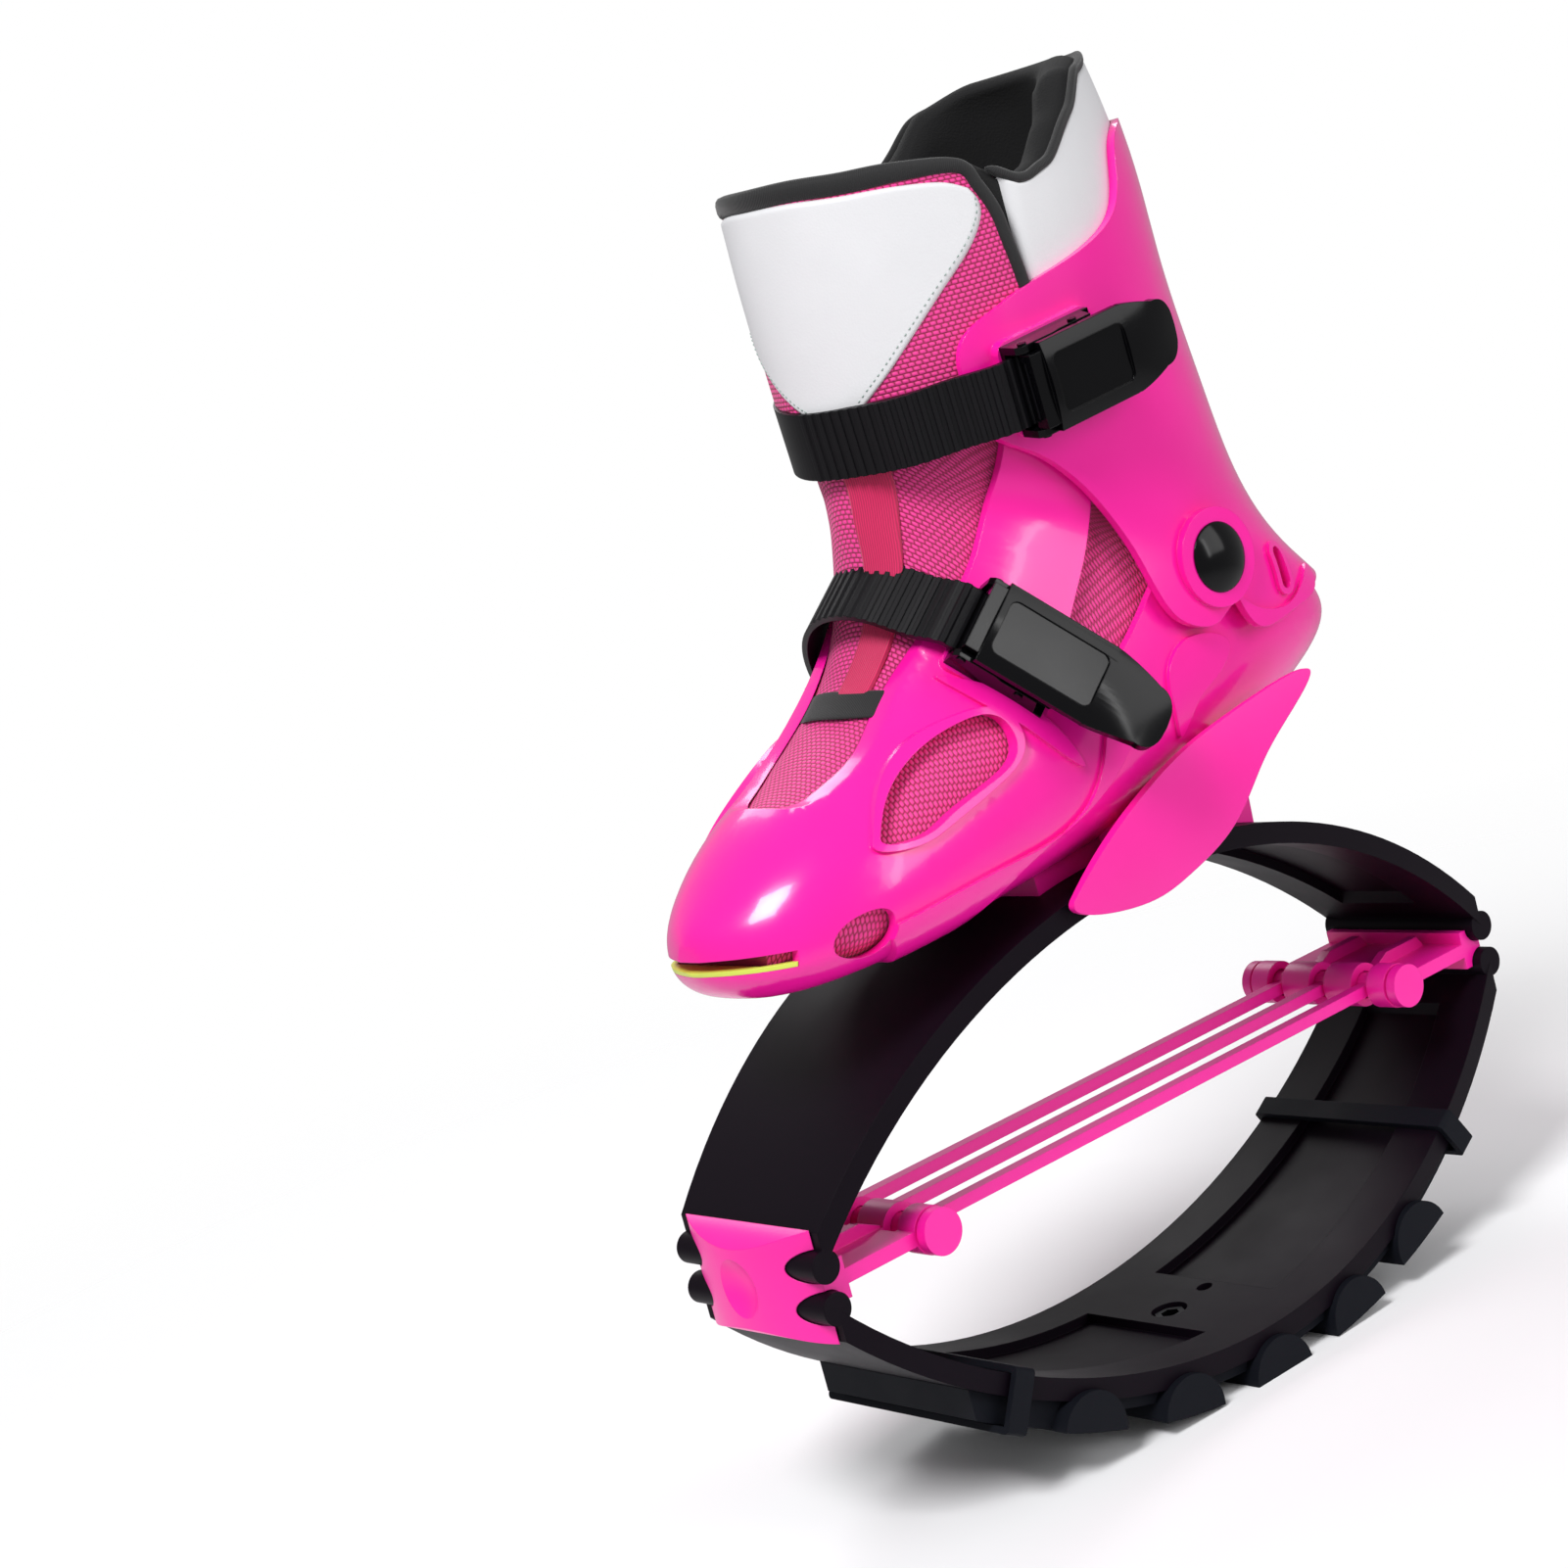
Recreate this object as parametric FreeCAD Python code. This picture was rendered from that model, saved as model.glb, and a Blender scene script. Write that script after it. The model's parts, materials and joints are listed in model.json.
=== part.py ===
import FreeCAD, Part

import math
import os

# Left rebound jumping boot, in millimetres.
# +X points to the heel, +Y to the inner side of the foot, +Z up.
# The origin is on the ground, under the middle of the spring ring.

V = FreeCAD.Vector
UP = V(0, 0, 1)
ACROSS = V(0, 1, 0)

# Spring ring
ring_half_length = 161.0
ring_mid_height = 96.5
bead_half_gap = 7.0
bead_radius = 5.4
arc_rise = 73.5
arc_thickness = 7.5
arc_web = 4.0
arc_mid_half_width = 50.0
arc_end_half_width = 36.5
arc_rail_width = 20.0
arc_taper_power = 1.8
upper_platform_reach = 46.0
lower_platform_front = -12.0
lower_platform_rear = 23.0

# Rubber outsole
sole_base = 4.2
lug_height = 5.6
lug_proud = 3.0
lug_reach = 24.0
lug_centre_drop = 0.3
lug_wrap = 5.0
centre_pad_radius = 13.0
lug_first = -2
lug_last = 2
lug_shift = -0.04
lug_length = 27.0
lug_pitch_angle = 10.5
outsole_front_angle = -33.0
outsole_rear_angle = 32.0
outsole_side_gap = 3.0
loop_angle_front = -29.5
loop_angle_rear = 31.0
loop_width = 8.0
loop_thickness = 2.4
loop_gap = 0.2

# End connectors and tension spring
connector_half_width = 33.0
socket_gap = 0.35
cap_nose = 10.0
cap_bow_radius = 62.0
cap_height = 19.5
dimple_radius = 16.0
dimple_depth = 3.5
plate_thickness = 5.0
gusset_thickness = 4.0
gusset_height = 11.0
gusset_offset = 14.0
rod_position = 115.0
rod_radius = 4.6
disc_radius = 7.8
disc_thickness = 4.0
slat_width = 5.0
slat_thickness = 4.2
slat_spacing = 21.0
boss_radius = 8.0

# Boot shell and cuff
shell_wall = 3.0
liner_gap = 0.4
cuff_gap = 2.6
cuff_wall = 3.2
ankle_x = 57.0
ankle_z = 270.5
ankle_boss_radius = 17.0
ankle_boss_face = 55.0
rivet_cap_radius = 12.0
rivet_cap_height = 3.2
rivet_shank_radius = 5.0
rivet_hole_gap = 0.3
rivet_flange_radius = 8.5
rivet_flange = 1.6

# Liner
liner_wall = 9.0
collar_wall = 11.0
insole_thickness = 4.0
flex_forward = 10.0
flex_back = 3.0
foot_top_front = 16.0
foot_top_rear = 5.0
collar_step = 337.5
collar_swell = 1.4
collar_inset = 7.4
flex_margin = 1.5
flex_gap = 0.5
flex_shares = (0.5, 1.0)

# Wing guards
wing_inner_face = 51.4
wing_thickness = 3.6
wing_bow_radius = 170.0

# Sole block and its bolts
block_half_width = 30.0
bolt_radius = 4.0
bolt_head_radius = 7.5
bolt_head_height = 4.5
bolt_hex = 3.0
bolt_well_radius = 6.5
bolt_well_depth = 4.5
bolt_head_flats = 10.0
bolt_head_low = 3.3
bolt_socket_depth = 2.0
small_hole_x = 18.5
small_hole_radius = 2.9
bolt_spacing = 56.0
nut_radius = 9.0
nut_height = 3.0
fit_gap = 0.25

# Straps
strap_width = 23.0
strap_core = 2.0
strap_tooth = 0.6
strap_pitch = 3.4
strap_over_body = 1.2
strap_over_shell = 1.5
base_seat_gap = 0.1

# Ratchet buckles
buckle_plate = 2.0
cheek_gap_half = 12.8
cheek_thickness = 2.5
cheek_height = 10.5
cheek_front = -3.2
cheek_rear = 28.0
base_rear = 33.0
lever_pin_height = 8.4
pin_radius = 1.5
pin_gap = 0.1
lever_front = -2.0
lever_neck = 13.0
lever_shoulder = 3.0
lower_lever_length = 75.0
upper_lever_length = 61.0
lever_half_width = 15.0
lever_bottom = 11.0
lever_thickness = 4.4
lever_window_front = 5.5
lower_window_rear = 43.0
upper_window_rear = 35.5
lever_window_half = 10.0
lever_window_depth = 1.4
ear_thickness = 2.6
pawl_pin_at = 22.0
pawl_pin_height = 7.3
pawl_half_width = 8.0
pawl_clearance = 0.8

# Boot stations from the toe to the top of the leg:
# front point x and z, back point x and z, half width, roundness of the back, sideways shift
STATIONS = [
    (-159.5, 207.5, -159.3, 197.5, 5.0, 2.0, -6.0),
    (-156.0, 213.0, -155.5, 191.5, 15.0, 2.2, -6.0),
    (-149.5, 219.0, -149.0, 186.5, 25.5, 2.4, -5.5),
    (-137.0, 229.0, -136.5, 183.0, 35.5, 2.6, -5.0),
    (-121.0, 238.5, -120.0, 182.0, 43.0, 2.8, -4.0),
    (-104.0, 246.0, -98.0, 182.5, 48.0, 3.0, -2.5),
    (-86.0, 256.5, -68.0, 184.0, 51.0, 3.0, -1.0),
    (-70.0, 269.5, -30.0, 186.5, 52.0, 2.9, 0.0),
    (-59.5, 283.5, 15.0, 190.0, 51.0, 2.7, 0.0),
    (-55.5, 299.5, 70.0, 198.5, 49.5, 2.5, 0.0),
    (-54.0, 314.5, 120.0, 214.5, 47.5, 2.4, 0.0),
    (-53.0, 325.5, 141.0, 230.5, 46.5, 2.3, 0.0),
    (-53.0, 335.5, 126.5, 254.5, 46.5, 2.2, 0.0),
    (-53.0, 350.5, 109.0, 285.5, 47.0, 2.1, 0.0),
    (-53.5, 372.5, 101.0, 322.5, 47.5, 2.1, 0.0),
    (-53.5, 397.5, 94.5, 367.5, 48.5, 2.1, 0.0),
    (-53.0, 422.5, 91.0, 414.5, 49.0, 2.1, 0.0),
    (-53.0, 460.5, 80.0, 454.5, 49.5, 2.1, 0.0),
    (-53.0, 494.5, 68.0, 488.5, 49.5, 2.1, 0.0),
]
FIRST_INNER_STATION = 2
FIRST_CUFF_STATION = 5
CUTTER = 0
SHORT = 1
STATION_POINTS = 24
FOOT_WAIST = 0.62
LEG_WAIST = 0.5
WAIST_STATIONS = 6

# Side outlines, as x and z
THROAT = [
    (-122, 244.5), (-117, 238.5), (-104, 240.5), (-90, 246.5), (-72, 259.5), (-57, 271.5),
    (-46, 280.5), (-34, 289.5), (-24, 301.5), (-16, 315.5), (-9, 333.5),
]
FLAP_REAR = [
    (-9, 333.5), (8, 329.5), (17, 310.5), (12, 290.5), (1, 275.5), (-10, 262.5), (-14, 253.5), (-8, 246.5), (4, 248.5),
]
ANKLE_LINE = [(4, 248.5), (20, 258.5), (34, 269.5), (57, 283.5), (90, 280.5), (112, 273.5), (165, 266.5)]
CUFF_OUTLINE = [
    (-2, 373.5), (-12, 369.5), (-21, 363.5), (-23, 352.5), (-20, 340.5), (-18, 333.5), (-6, 323.5), (6, 312.5),
    (17, 297.5), (24, 282.5), (28, 267.5), (33, 256.5), (42, 250.5), (52, 249.5), (63, 253.5), (71, 247.5),
    (79, 241.5), (93, 242.5), (108, 246.5), (165, 254.5),
]
CUFF_TOP = [(165, 420.5), (95, 419.5), (74, 418.0), (65, 412.5), (60, 402.5), (54, 392.5), (40, 384.5), (18, 378.5)]
LEAF_WINDOW = [
    (-105, 224.5), (-94, 235.5), (-80, 243.5), (-62, 248.5), (-47, 245.5), (-46, 236.5), (-60, 228.5), (-80, 223.5), (-96, 220.5),
]
OVAL_WINDOW = [(-131, 197.5), (-121, 204.5), (-110, 201.5), (-112, 193.5), (-124, 191.5)]
SHELL_RIB = [(-57, 263.5), (-44, 255.5), (-30, 239.5), (-22, 221.5), (-30, 228.5), (-42, 242.5), (-54, 256.5)]
SOLE_RIDGE = [(-112, 197.5), (-60, 201.5), (-14, 218.5), (2, 238.5), (6, 235.5), (-8, 214.5), (-58, 196.5), (-112, 193.5)]
HEEL_LEAF = [(25, 229.5), (31, 244.5), (45, 247.5), (59, 239.5), (52, 232.5), (36, 224.5), (27, 216.5)]
CHEVRON = [(62, 258.5), (79, 246.5), (96, 248.5), (110, 254.5), (110, 250.5), (94, 243.5), (78, 241.5), (63, 253.5)]
WING = [
    (-41, 182.5), (-22, 195.5), (8, 209.5), (50, 219.5), (88, 221.0), (72, 210.5), (54, 199.0), (35, 183.0), (11, 173.5), (-19, 171.5),
]
FLAP_SWEEP = [(-75, 250), (-62, 283), (-42, 300), (-28, 320), (-18, 345), (30, 345), (40, 300), (20, 250), (-75, 250)]
relief_height = 1.6
window_rim = 3.5
mouth_depth = 7.0
FIRST_UPPER_BACK = 12
BLOCK_SIDE = [(-34, 150), (-36, 196), (70, 215), (66, 150), (-34, 150)]
wing_bosses = [(-4.0, 192.5), (50.0, 206.5)]
wing_boss_radius = 5.0
wing_bow_height = 198.0
ankle_inner_face = 43.2
insole_front = -134.0
insole_rear = 118.0
lower_buckle_at = (-41.0, -37.0, 274.5)
lower_buckle_along = (0.58, -0.378, -0.717)
lower_buckle_outward = (-0.22, -0.925, 0.31)
upper_buckle_at = (-7.6, -50.5, 344.2)
upper_buckle_along = (0.982, -0.139, 0.133)
upper_buckle_outward = (-0.12, -0.985, -0.139)
lever_crown_radius = 60.0
base_rivets = (6.0, 28.0)
base_rivet_radius = 1.8
base_rivet_head = 3.2
base_rivet_head_height = 0.9
rivet_depth = 4.4
pawl_tip = 7.0
pawl_tail = 31.0
strap_gap = 0.3
strap_centre_share = 0.42
side_reach = 80.0
mouth_top = 202.0
mouth_bottom = 197.0
mouth_rear = -141.0
mouth_tilt = 6.0
lip_height = 1.6
slot_x = 90.0
slot_z = 258.5
slot_width = 5.0
slot_length = 15.0
slot_rim = 2.2
COLLAR_TOP = [
    (-90, 428.5), (-60, 428.5), (-20, 427.5), (0, 424.5), (8, 416.5), (16, 407.5), (28, 411.5), (44, 427.5), (57, 440.0),
    (74, 445.0), (150, 446.5),
]


def save(name, shape):
    shape.exportStep("parts/%s.step" % name)


def box(x0, x1, y0, y1, z0, z1):
    return Part.makeBox(x1 - x0, y1 - y0, z1 - z0, V(x0, y0, z0))


def rod_across(x, z, radius, y0, y1):
    return Part.makeCylinder(radius, y1 - y0, V(x, y0, z), ACROSS)


def fused(shapes):
    result = shapes[0]
    if len(shapes) > 1:
        result = result.multiFuse(shapes[1:])
    return result.removeSplitter()


def largest(shape):
    """Biggest solid of a shape that a cut may have split."""
    return max(shape.Solids, key=lambda solid: solid.Volume)


def mirrored(shape):
    return shape.mirror(V(0, 0, 0), ACROSS)


def smooth_edge(points, y0):
    curve = Part.BSplineCurve()
    curve.interpolate(Points=[V(x, y0, z) for x, z in points])
    return curve.toShape()


def straight_edges(points, y0):
    return Part.makePolygon([V(x, y0, z) for x, z in points]).Edges


def prism(edges, y0, y1):
    """A plate between two values of y, from the edges of its side outline."""
    return Part.Face(Part.Wire(edges)).extrude(V(0, y1 - y0, 0))


def smooth_prism(points, y0, y1):
    curve = Part.BSplineCurve()
    curve.interpolate(Points=[V(x, y0, z) for x, z in points], PeriodicFlag=True)
    return prism([curve.toShape()], y0, y1)


# Spring ring


def ring_radius():
    """Inner radius of both arcs, from the chord and the rise."""
    return (ring_half_length ** 2 + arc_rise ** 2) / (2 * arc_rise)


def arc_half_angle():
    return math.degrees(math.asin(ring_half_length / ring_radius()))


def upper_arc_centre():
    return ring_mid_height + bead_half_gap + arc_rise - ring_radius()


def lower_arc_centre():
    return ring_mid_height - bead_half_gap - arc_rise + ring_radius()


def arc_ring(inner, outer, half_width, centre_z):
    """Full ring about the Y axis, between two radii."""
    tube = rod_across(0, centre_z, outer, -half_width, half_width)
    return tube.cut(rod_across(0, centre_z, inner, -half_width - 1, half_width + 1))


def plan_half_width(x, inset):
    share = min(1.0, abs(x) / ring_half_length) ** arc_taper_power
    width = arc_mid_half_width + (arc_end_half_width - arc_mid_half_width) * share
    return width - inset


def plan_prism(inset, x0, x1, z0, z1):
    """Tapered plan outline of the spring band, as an upright prism."""
    steps = 8
    stations = [x0 + (x1 - x0) * k / steps for k in range(steps + 1)]
    left = [V(x, -plan_half_width(x, inset), z0) for x in stations]
    right = [V(x, plan_half_width(x, inset), z0) for x in reversed(stations)]
    edges = []
    for run in (left, right):
        curve = Part.BSplineCurve()
        curve.interpolate(Points=run)
        edges.append(curve.toShape())
    edges.insert(1, Part.makeLine(left[-1], right[0]))
    edges.append(Part.makeLine(right[-1], left[0]))
    return Part.Face(Part.Wire(edges)).extrude(V(0, 0, z1 - z0))


def spring_arc(platform_front, platform_rear):
    """Upper arc of the ring: rails, thin web, full thickness between two places, and a bead at each end."""
    radius = ring_radius()
    centre = upper_arc_centre()
    bead_z = ring_mid_height + bead_half_gap
    top = centre + radius + arc_thickness + 1
    band = arc_ring(radius, radius + arc_thickness, arc_mid_half_width + 1, centre)
    band = band.common(plan_prism(0, -ring_half_length, ring_half_length, bead_z, top))
    recess = arc_ring(radius - 1, radius + arc_thickness - arc_web, arc_mid_half_width, centre)
    end = ring_half_length - 2.2 * bead_radius
    for x0, x1 in ((-end, platform_front), (platform_rear, end)):
        pocket = plan_prism(arc_rail_width, x0, x1, bead_z, top)
        band = band.cut(recess.common(pocket))
    half = arc_end_half_width
    beads = [rod_across(side * ring_half_length, bead_z, bead_radius, -half, half) for side in (-1, 1)]
    return fused([band] + beads)


def bolt_places():
    return [-bolt_spacing / 2, bolt_spacing / 2]


def upright_rod(x, y, z0, z1, radius):
    return Part.makeCylinder(radius, z1 - z0, V(x, y, z0), UP)


def hex_prism(x, y, z0, z1, across_flats):
    reach = across_flats / math.sqrt(3)
    corners = [V(x + reach * math.cos(a), y + reach * math.sin(a), z0) for a in
               [math.radians(60 * k) for k in range(7)]]
    return Part.Face(Part.makePolygon(corners)).extrude(V(0, 0, z1 - z0))


def upper_arc():
    arc = spring_arc(-upper_platform_reach, upper_platform_reach)
    for x in bolt_places():
        arc = arc.cut(upright_rod(x, 0, 150, 230, bolt_radius + fit_gap))
    return arc


def lower_arc():
    arc = spring_arc(lower_platform_front, lower_platform_rear).mirror(V(0, 0, ring_mid_height), UP)
    arc = arc.cut(upright_rod(0, 0, 0, 60, bolt_radius + fit_gap))
    seat = inner_floor() - bolt_well_depth
    arc = arc.cut(upright_rod(0, 0, seat, seat + 2 * bolt_well_depth, bolt_well_radius))
    small_hole = upright_rod(small_hole_x, 0, 0, 60, small_hole_radius)
    return arc.cut(small_hole)


def inner_floor():
    return lower_arc_centre() - ring_radius()


def outsole():
    centre = lower_arc_centre()
    top = ring_radius() + arc_thickness
    base = arc_ring(top, top + sole_base, arc_mid_half_width, centre)
    radius = top + sole_base
    x0 = radius * math.sin(math.radians(outsole_front_angle))
    x1 = radius * math.sin(math.radians(outsole_rear_angle))
    base = base.common(plan_prism(outsole_side_gap, x0, x1, -40, centre))
    shapes = [base]
    lug_ring = arc_ring(radius - lug_wrap - sole_base, radius + lug_height, 2 * arc_mid_half_width, centre)
    band = arc_ring(radius - 2 * sole_base - arc_thickness, top, arc_mid_half_width + 1, centre)
    band = band.common(plan_prism(-fit_gap, -ring_half_length, ring_half_length, -40, centre))
    for k in range(lug_first, lug_last + 1):
        angle = lug_pitch_angle * (k + lug_shift)
        edge = plan_half_width(radius * math.sin(math.radians(angle)), -lug_proud)
        for side in (-1, 1):
            start = edge - lug_reach if side > 0 else -edge
            lug = Part.makeCylinder(lug_length / 2, lug_reach, V(0, start, lug_centre_drop - radius - lug_height), ACROSS)
            lug.rotate(V(0, 0, 0), ACROSS, -angle)
            lug.translate(V(0, 0, centre))
            shapes.append(lug.common(lug_ring).cut(band))
        bar = box(-lug_length / 5, lug_length / 5, -18, 18, -(radius + lug_height), -(radius - 1))
        bar.rotate(V(0, 0, 0), ACROSS, -angle)
        bar.translate(V(0, 0, centre))
        shapes.append(bar)
    block = arc_ring(radius - 1, radius + 5, arc_mid_half_width, centre)
    block = block.common(plan_prism(outsole_side_gap, x0, x0 + 34, -40, centre))
    shapes.append(block)
    shapes.append(upright_rod(0, 0, 0, inner_floor() - arc_thickness - sole_base / 2, centre_pad_radius))
    sole = fused(shapes)
    sole = sole.cut(box(-200, 200, -90, 90, -60, 0))
    for angle in (loop_angle_front, loop_angle_rear):
        sole = sole.cut(rubber_loop(angle))
    low = outsole_nut_top() - nut_height - fit_gap
    sole = sole.cut(upright_rod(0, 0, low, 40, bolt_radius + fit_gap))
    return sole.cut(upright_rod(0, 0, low, outsole_nut_top() + fit_gap, nut_radius + fit_gap))


def outsole_nut_top():
    return lower_arc_centre() - ring_radius() - arc_thickness - 3.0


def outsole_bolt():
    seat = inner_floor() - bolt_well_depth
    top = seat + bolt_head_low
    head = hex_prism(0, 0, seat, top, bolt_head_flats)
    head = head.cut(hex_prism(0, 0, top - bolt_socket_depth, top + 1, bolt_hex * 2))
    shank = upright_rod(0, 0, outsole_nut_top() - nut_height, seat, bolt_radius)
    return fused([head, shank])


def outsole_nut():
    top = outsole_nut_top()
    nut = upright_rod(0, 0, top - nut_height, top, nut_radius)
    return nut.cut(upright_rod(0, 0, top - 5, top + 1, bolt_radius + 0.05))


def rubber_loop(angle):
    """Flat band round the lower arc and the outsole."""
    centre = lower_arc_centre()
    inner = ring_radius() - loop_gap
    outer = ring_radius() + arc_thickness + sole_base + loop_gap
    if angle < 0:
        outer += 5.0
    half = arc_mid_half_width + 1
    x = outer * math.sin(math.radians(angle))
    half = plan_half_width(x * 0.94, 0) + loop_gap + 0.6
    t = loop_thickness
    ring = box(-loop_width / 2, loop_width / 2, -half - t, half + t, -outer - t, -inner + t)
    ring = ring.makeFillet(2.0, [e for e in ring.Edges if abs(e.tangentAt(e.FirstParameter).x) > 0.9])
    ring = ring.cut(box(-loop_width, loop_width, -half, half, -outer, -inner))
    ring.rotate(V(0, 0, 0), ACROSS, -angle)
    ring.translate(V(0, 0, centre))
    return ring


# End connectors and tension spring


def connector():
    """Rear end connector: nose, two bead sockets, plate, gussets and rod hooks."""
    half = connector_half_width
    mid = ring_mid_height
    beads = [mid - bead_half_gap, mid + bead_half_gap]
    socket = bead_radius + socket_gap
    shell = []
    nose = Part.makeCylinder(cap_height, 2 * half, V(ring_half_length - 4, -half, mid), ACROSS)
    bow = upright_rod(ring_half_length + cap_nose - cap_bow_radius, 0, mid - 30, mid + 30, cap_bow_radius)
    front = box(ring_half_length - 9, ring_half_length + 2 * cap_nose, -half, half, mid - 30, mid + 30)
    nose = nose.common(front).common(bow)
    shell.append(nose)
    plate = box(rod_position - 2, ring_half_length, -half, half, mid - plate_thickness / 2, mid + plate_thickness / 2)
    shell.append(plate)
    for side in (-1, 1):
        y0 = side * gusset_offset - gusset_thickness / 2
        y1 = y0 + gusset_thickness
        for way in (-1, 1):
            low = mid + way * plate_thickness / 2 * 0.8
            high = mid + way * gusset_height
            outline = [(rod_position + 5, low), (ring_half_length - 22, high), (ring_half_length - 16, high),
                       (ring_half_length - 10, low), (rod_position + 5, low)]
            shell.append(prism(straight_edges(outline, y0), y0, y1))
    shell.append(rod_across(rod_position, mid, boss_radius, -half, half))
    body = fused(shell)
    for z in beads:
        body = body.cut(rod_across(ring_half_length, z, socket, -half - 1, half + 1))
    # Throat of each socket, where the spring band leaves
    for way in (-1, 1):
        z = mid + way * bead_half_gap
        slot = box(ring_half_length - 30, ring_half_length + socket_gap, -half - 1, half + 1,
                   min(z, z + way * 40), max(z, z + way * 40))
        body = body.cut(slot.common(box(-300, ring_half_length + 4, -99, 99, mid - 99, mid + 99)))
    body = body.cut(rod_across(rod_position, mid, rod_radius + socket_gap, -half - 1, half + 1))
    for y in slat_places():
        gap = slat_width / 2 + 1.2
        body = body.cut(box(rod_position - 12, rod_position + 9, y - gap, y + gap, mid - 12, mid + 12))
    dimple = Part.makeSphere(dimple_radius, V(ring_half_length + cap_nose + dimple_radius - dimple_depth, 0, mid))
    return body.cut(dimple)


def slat_places():
    return [-slat_spacing, 0, slat_spacing]


def tension_spring():
    mid = ring_mid_height
    half = connector_half_width + 1.0
    shapes = []
    for side in (-1, 1):
        x = side * rod_position
        shapes.append(rod_across(x, mid, rod_radius, -half, half))
        for y0, y1 in ((-half - disc_thickness, -half), (half, half + disc_thickness)):
            shapes.append(rod_across(x, mid, disc_radius, y0, y1))
    for y in slat_places():
        shapes.append(box(-rod_position, rod_position, y - slat_width / 2, y + slat_width / 2,
                          mid - slat_thickness / 2, mid + slat_thickness / 2))
    return fused(shapes)


# Boot body


def signed_power(value, power):
    return math.copysign(abs(value) ** power, value)


def station_points(index, offset):
    """Closed section of the boot at one station, moved outwards by the offset."""
    fx, fz, bx, bz, half_width, roundness, shift = STATIONS[index]
    front = V(fx, shift, fz)
    along = V(bx - fx, 0, bz - fz)
    length = along.Length + 2 * offset
    along.normalize()
    start = front - along * offset
    share = min(1.0, max(0.0, (index - WAIST_STATIONS) / WAIST_STATIONS))
    waist = FOOT_WAIST + (LEG_WAIST - FOOT_WAIST) * share
    to_waist = length * waist
    past_waist = length - to_waist
    centre = start + along * to_waist
    points = []
    for step in range(STATION_POINTS):
        turn = 2 * math.pi * step / STATION_POINTS
        reach = math.cos(turn)
        power = 1.0 if reach < 0 else 2.0 / roundness
        depth = to_waist if reach < 0 else past_waist
        radial = depth * signed_power(reach, power)
        sideways = (half_width + offset) * signed_power(math.sin(turn), power)
        points.append(centre + along * radial + ACROSS * sideways)
    return points + points[:1]


def boot_body(offset, first=0, left_out=SHORT):
    """Solid skinned smoothly through the stations, the top ones left out as asked."""
    rows = [station_points(index, offset) for index in range(first, len(STATIONS) - left_out)]
    surface = Part.BSplineSurface()
    surface.interpolate(rows)
    skin = surface.toShape()
    rings = [edge for edge in skin.Edges if edge.isClosed()]
    caps = [Part.Face(Part.Wire(edge)) for edge in rings]
    shell = Part.makeShell([skin] + caps)
    shell.sewShape()
    solid = Part.makeSolid(shell)
    if solid.Volume < 0:
        solid.reverse()
    return solid


def shell_side():
    """Side outline of what the lower shell keeps."""
    y = -side_reach
    corners = [ANKLE_LINE[-1], (165, 150), (-190, 150), (-190, 252), THROAT[0]]
    edges = [smooth_edge(THROAT, y), smooth_edge(FLAP_REAR, y), smooth_edge(ANKLE_LINE, y)]
    return prism(edges + straight_edges(corners, y), y, side_reach)


def cuff_side():
    y = -side_reach
    outline = CUFF_TOP + [CUFF_OUTLINE[0]]
    edges = [smooth_edge(CUFF_OUTLINE, y), smooth_edge(outline, y)]
    edges += straight_edges([CUFF_OUTLINE[-1], CUFF_TOP[0]], y)
    return prism(edges, y, side_reach)


def both_sides(shape):
    return [shape, mirrored(shape)]


def outer_plate(points, y_far=-70.0, y_near=-18.0):
    """Side cutter that reaches the outer half of the boot only."""
    return smooth_prism(points, y_far, y_near)


def lower_shell(bodies):
    """Hollow moulded shell with throat, windows, mouth, raised ribs and ankle holes."""
    side = shell_side()
    shell = bodies["shell"].cut(bodies["shell_inner"]).common(side)
    for outline in (SHELL_RIB, SOLE_RIDGE, HEEL_LEAF, grown(LEAF_WINDOW, window_rim)):
        plate = outer_plate(outline).common(bodies["relief"]).cut(bodies["shell_middle"])
        for raised in both_sides(plate):
            shell = shell.fuse(raised)
    shell = shell.fuse(buckle_pad(lower_buckle_frame()).cut(bodies["shell_middle"]))
    for outline in (LEAF_WINDOW, OVAL_WINDOW):
        for plate in both_sides(outer_plate(outline)):
            shell = shell.cut(plate)
    shell = shell.cut(mouth_slot(bodies))
    for plate in both_sides(rod_across(ankle_x, ankle_z, rivet_shank_radius + fit_gap, -70, -30)):
        shell = shell.cut(plate)
    for plate in both_sides(rod_across(ankle_x, ankle_z, rivet_flange_radius + fit_gap, -ankle_inner_face, -30)):
        shell = shell.cut(plate)
    for x in bolt_places():
        shell = shell.cut(upright_rod(x, 0, 150, 230, bolt_radius + fit_gap))
        shell = shell.cut(upright_rod(x, 0, nut_floor(x), 230, nut_radius + fit_gap))
    return shell


def grown(points, amount):
    """The outline moved outwards from its middle."""
    cx = sum(p[0] for p in points) / len(points)
    cz = sum(p[1] for p in points) / len(points)
    moved = []
    for x, z in points:
        away = V(x - cx, 0, z - cz)
        length = away.Length
        moved.append((x + away.x / length * amount, z + away.z / length * amount))
    return moved


def mouth_box():
    slab = box(-200, mouth_rear, -70, 70, mouth_bottom, mouth_top)
    slab.rotate(V(-160, 0, (mouth_top + mouth_bottom) / 2), ACROSS, mouth_tilt)
    return slab


def mouth_slot(bodies):
    return mouth_box().cut(bodies["mouth_back"])


def toe_lip(bodies):
    slab = box(-200, mouth_rear - fit_gap, -70, 70, mouth_bottom, mouth_bottom + lip_height)
    slab.rotate(V(-160, 0, (mouth_top + mouth_bottom) / 2), ACROSS, mouth_tilt)
    return slab.common(bodies["shell"]).cut(bodies["shell_inner"])


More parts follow.
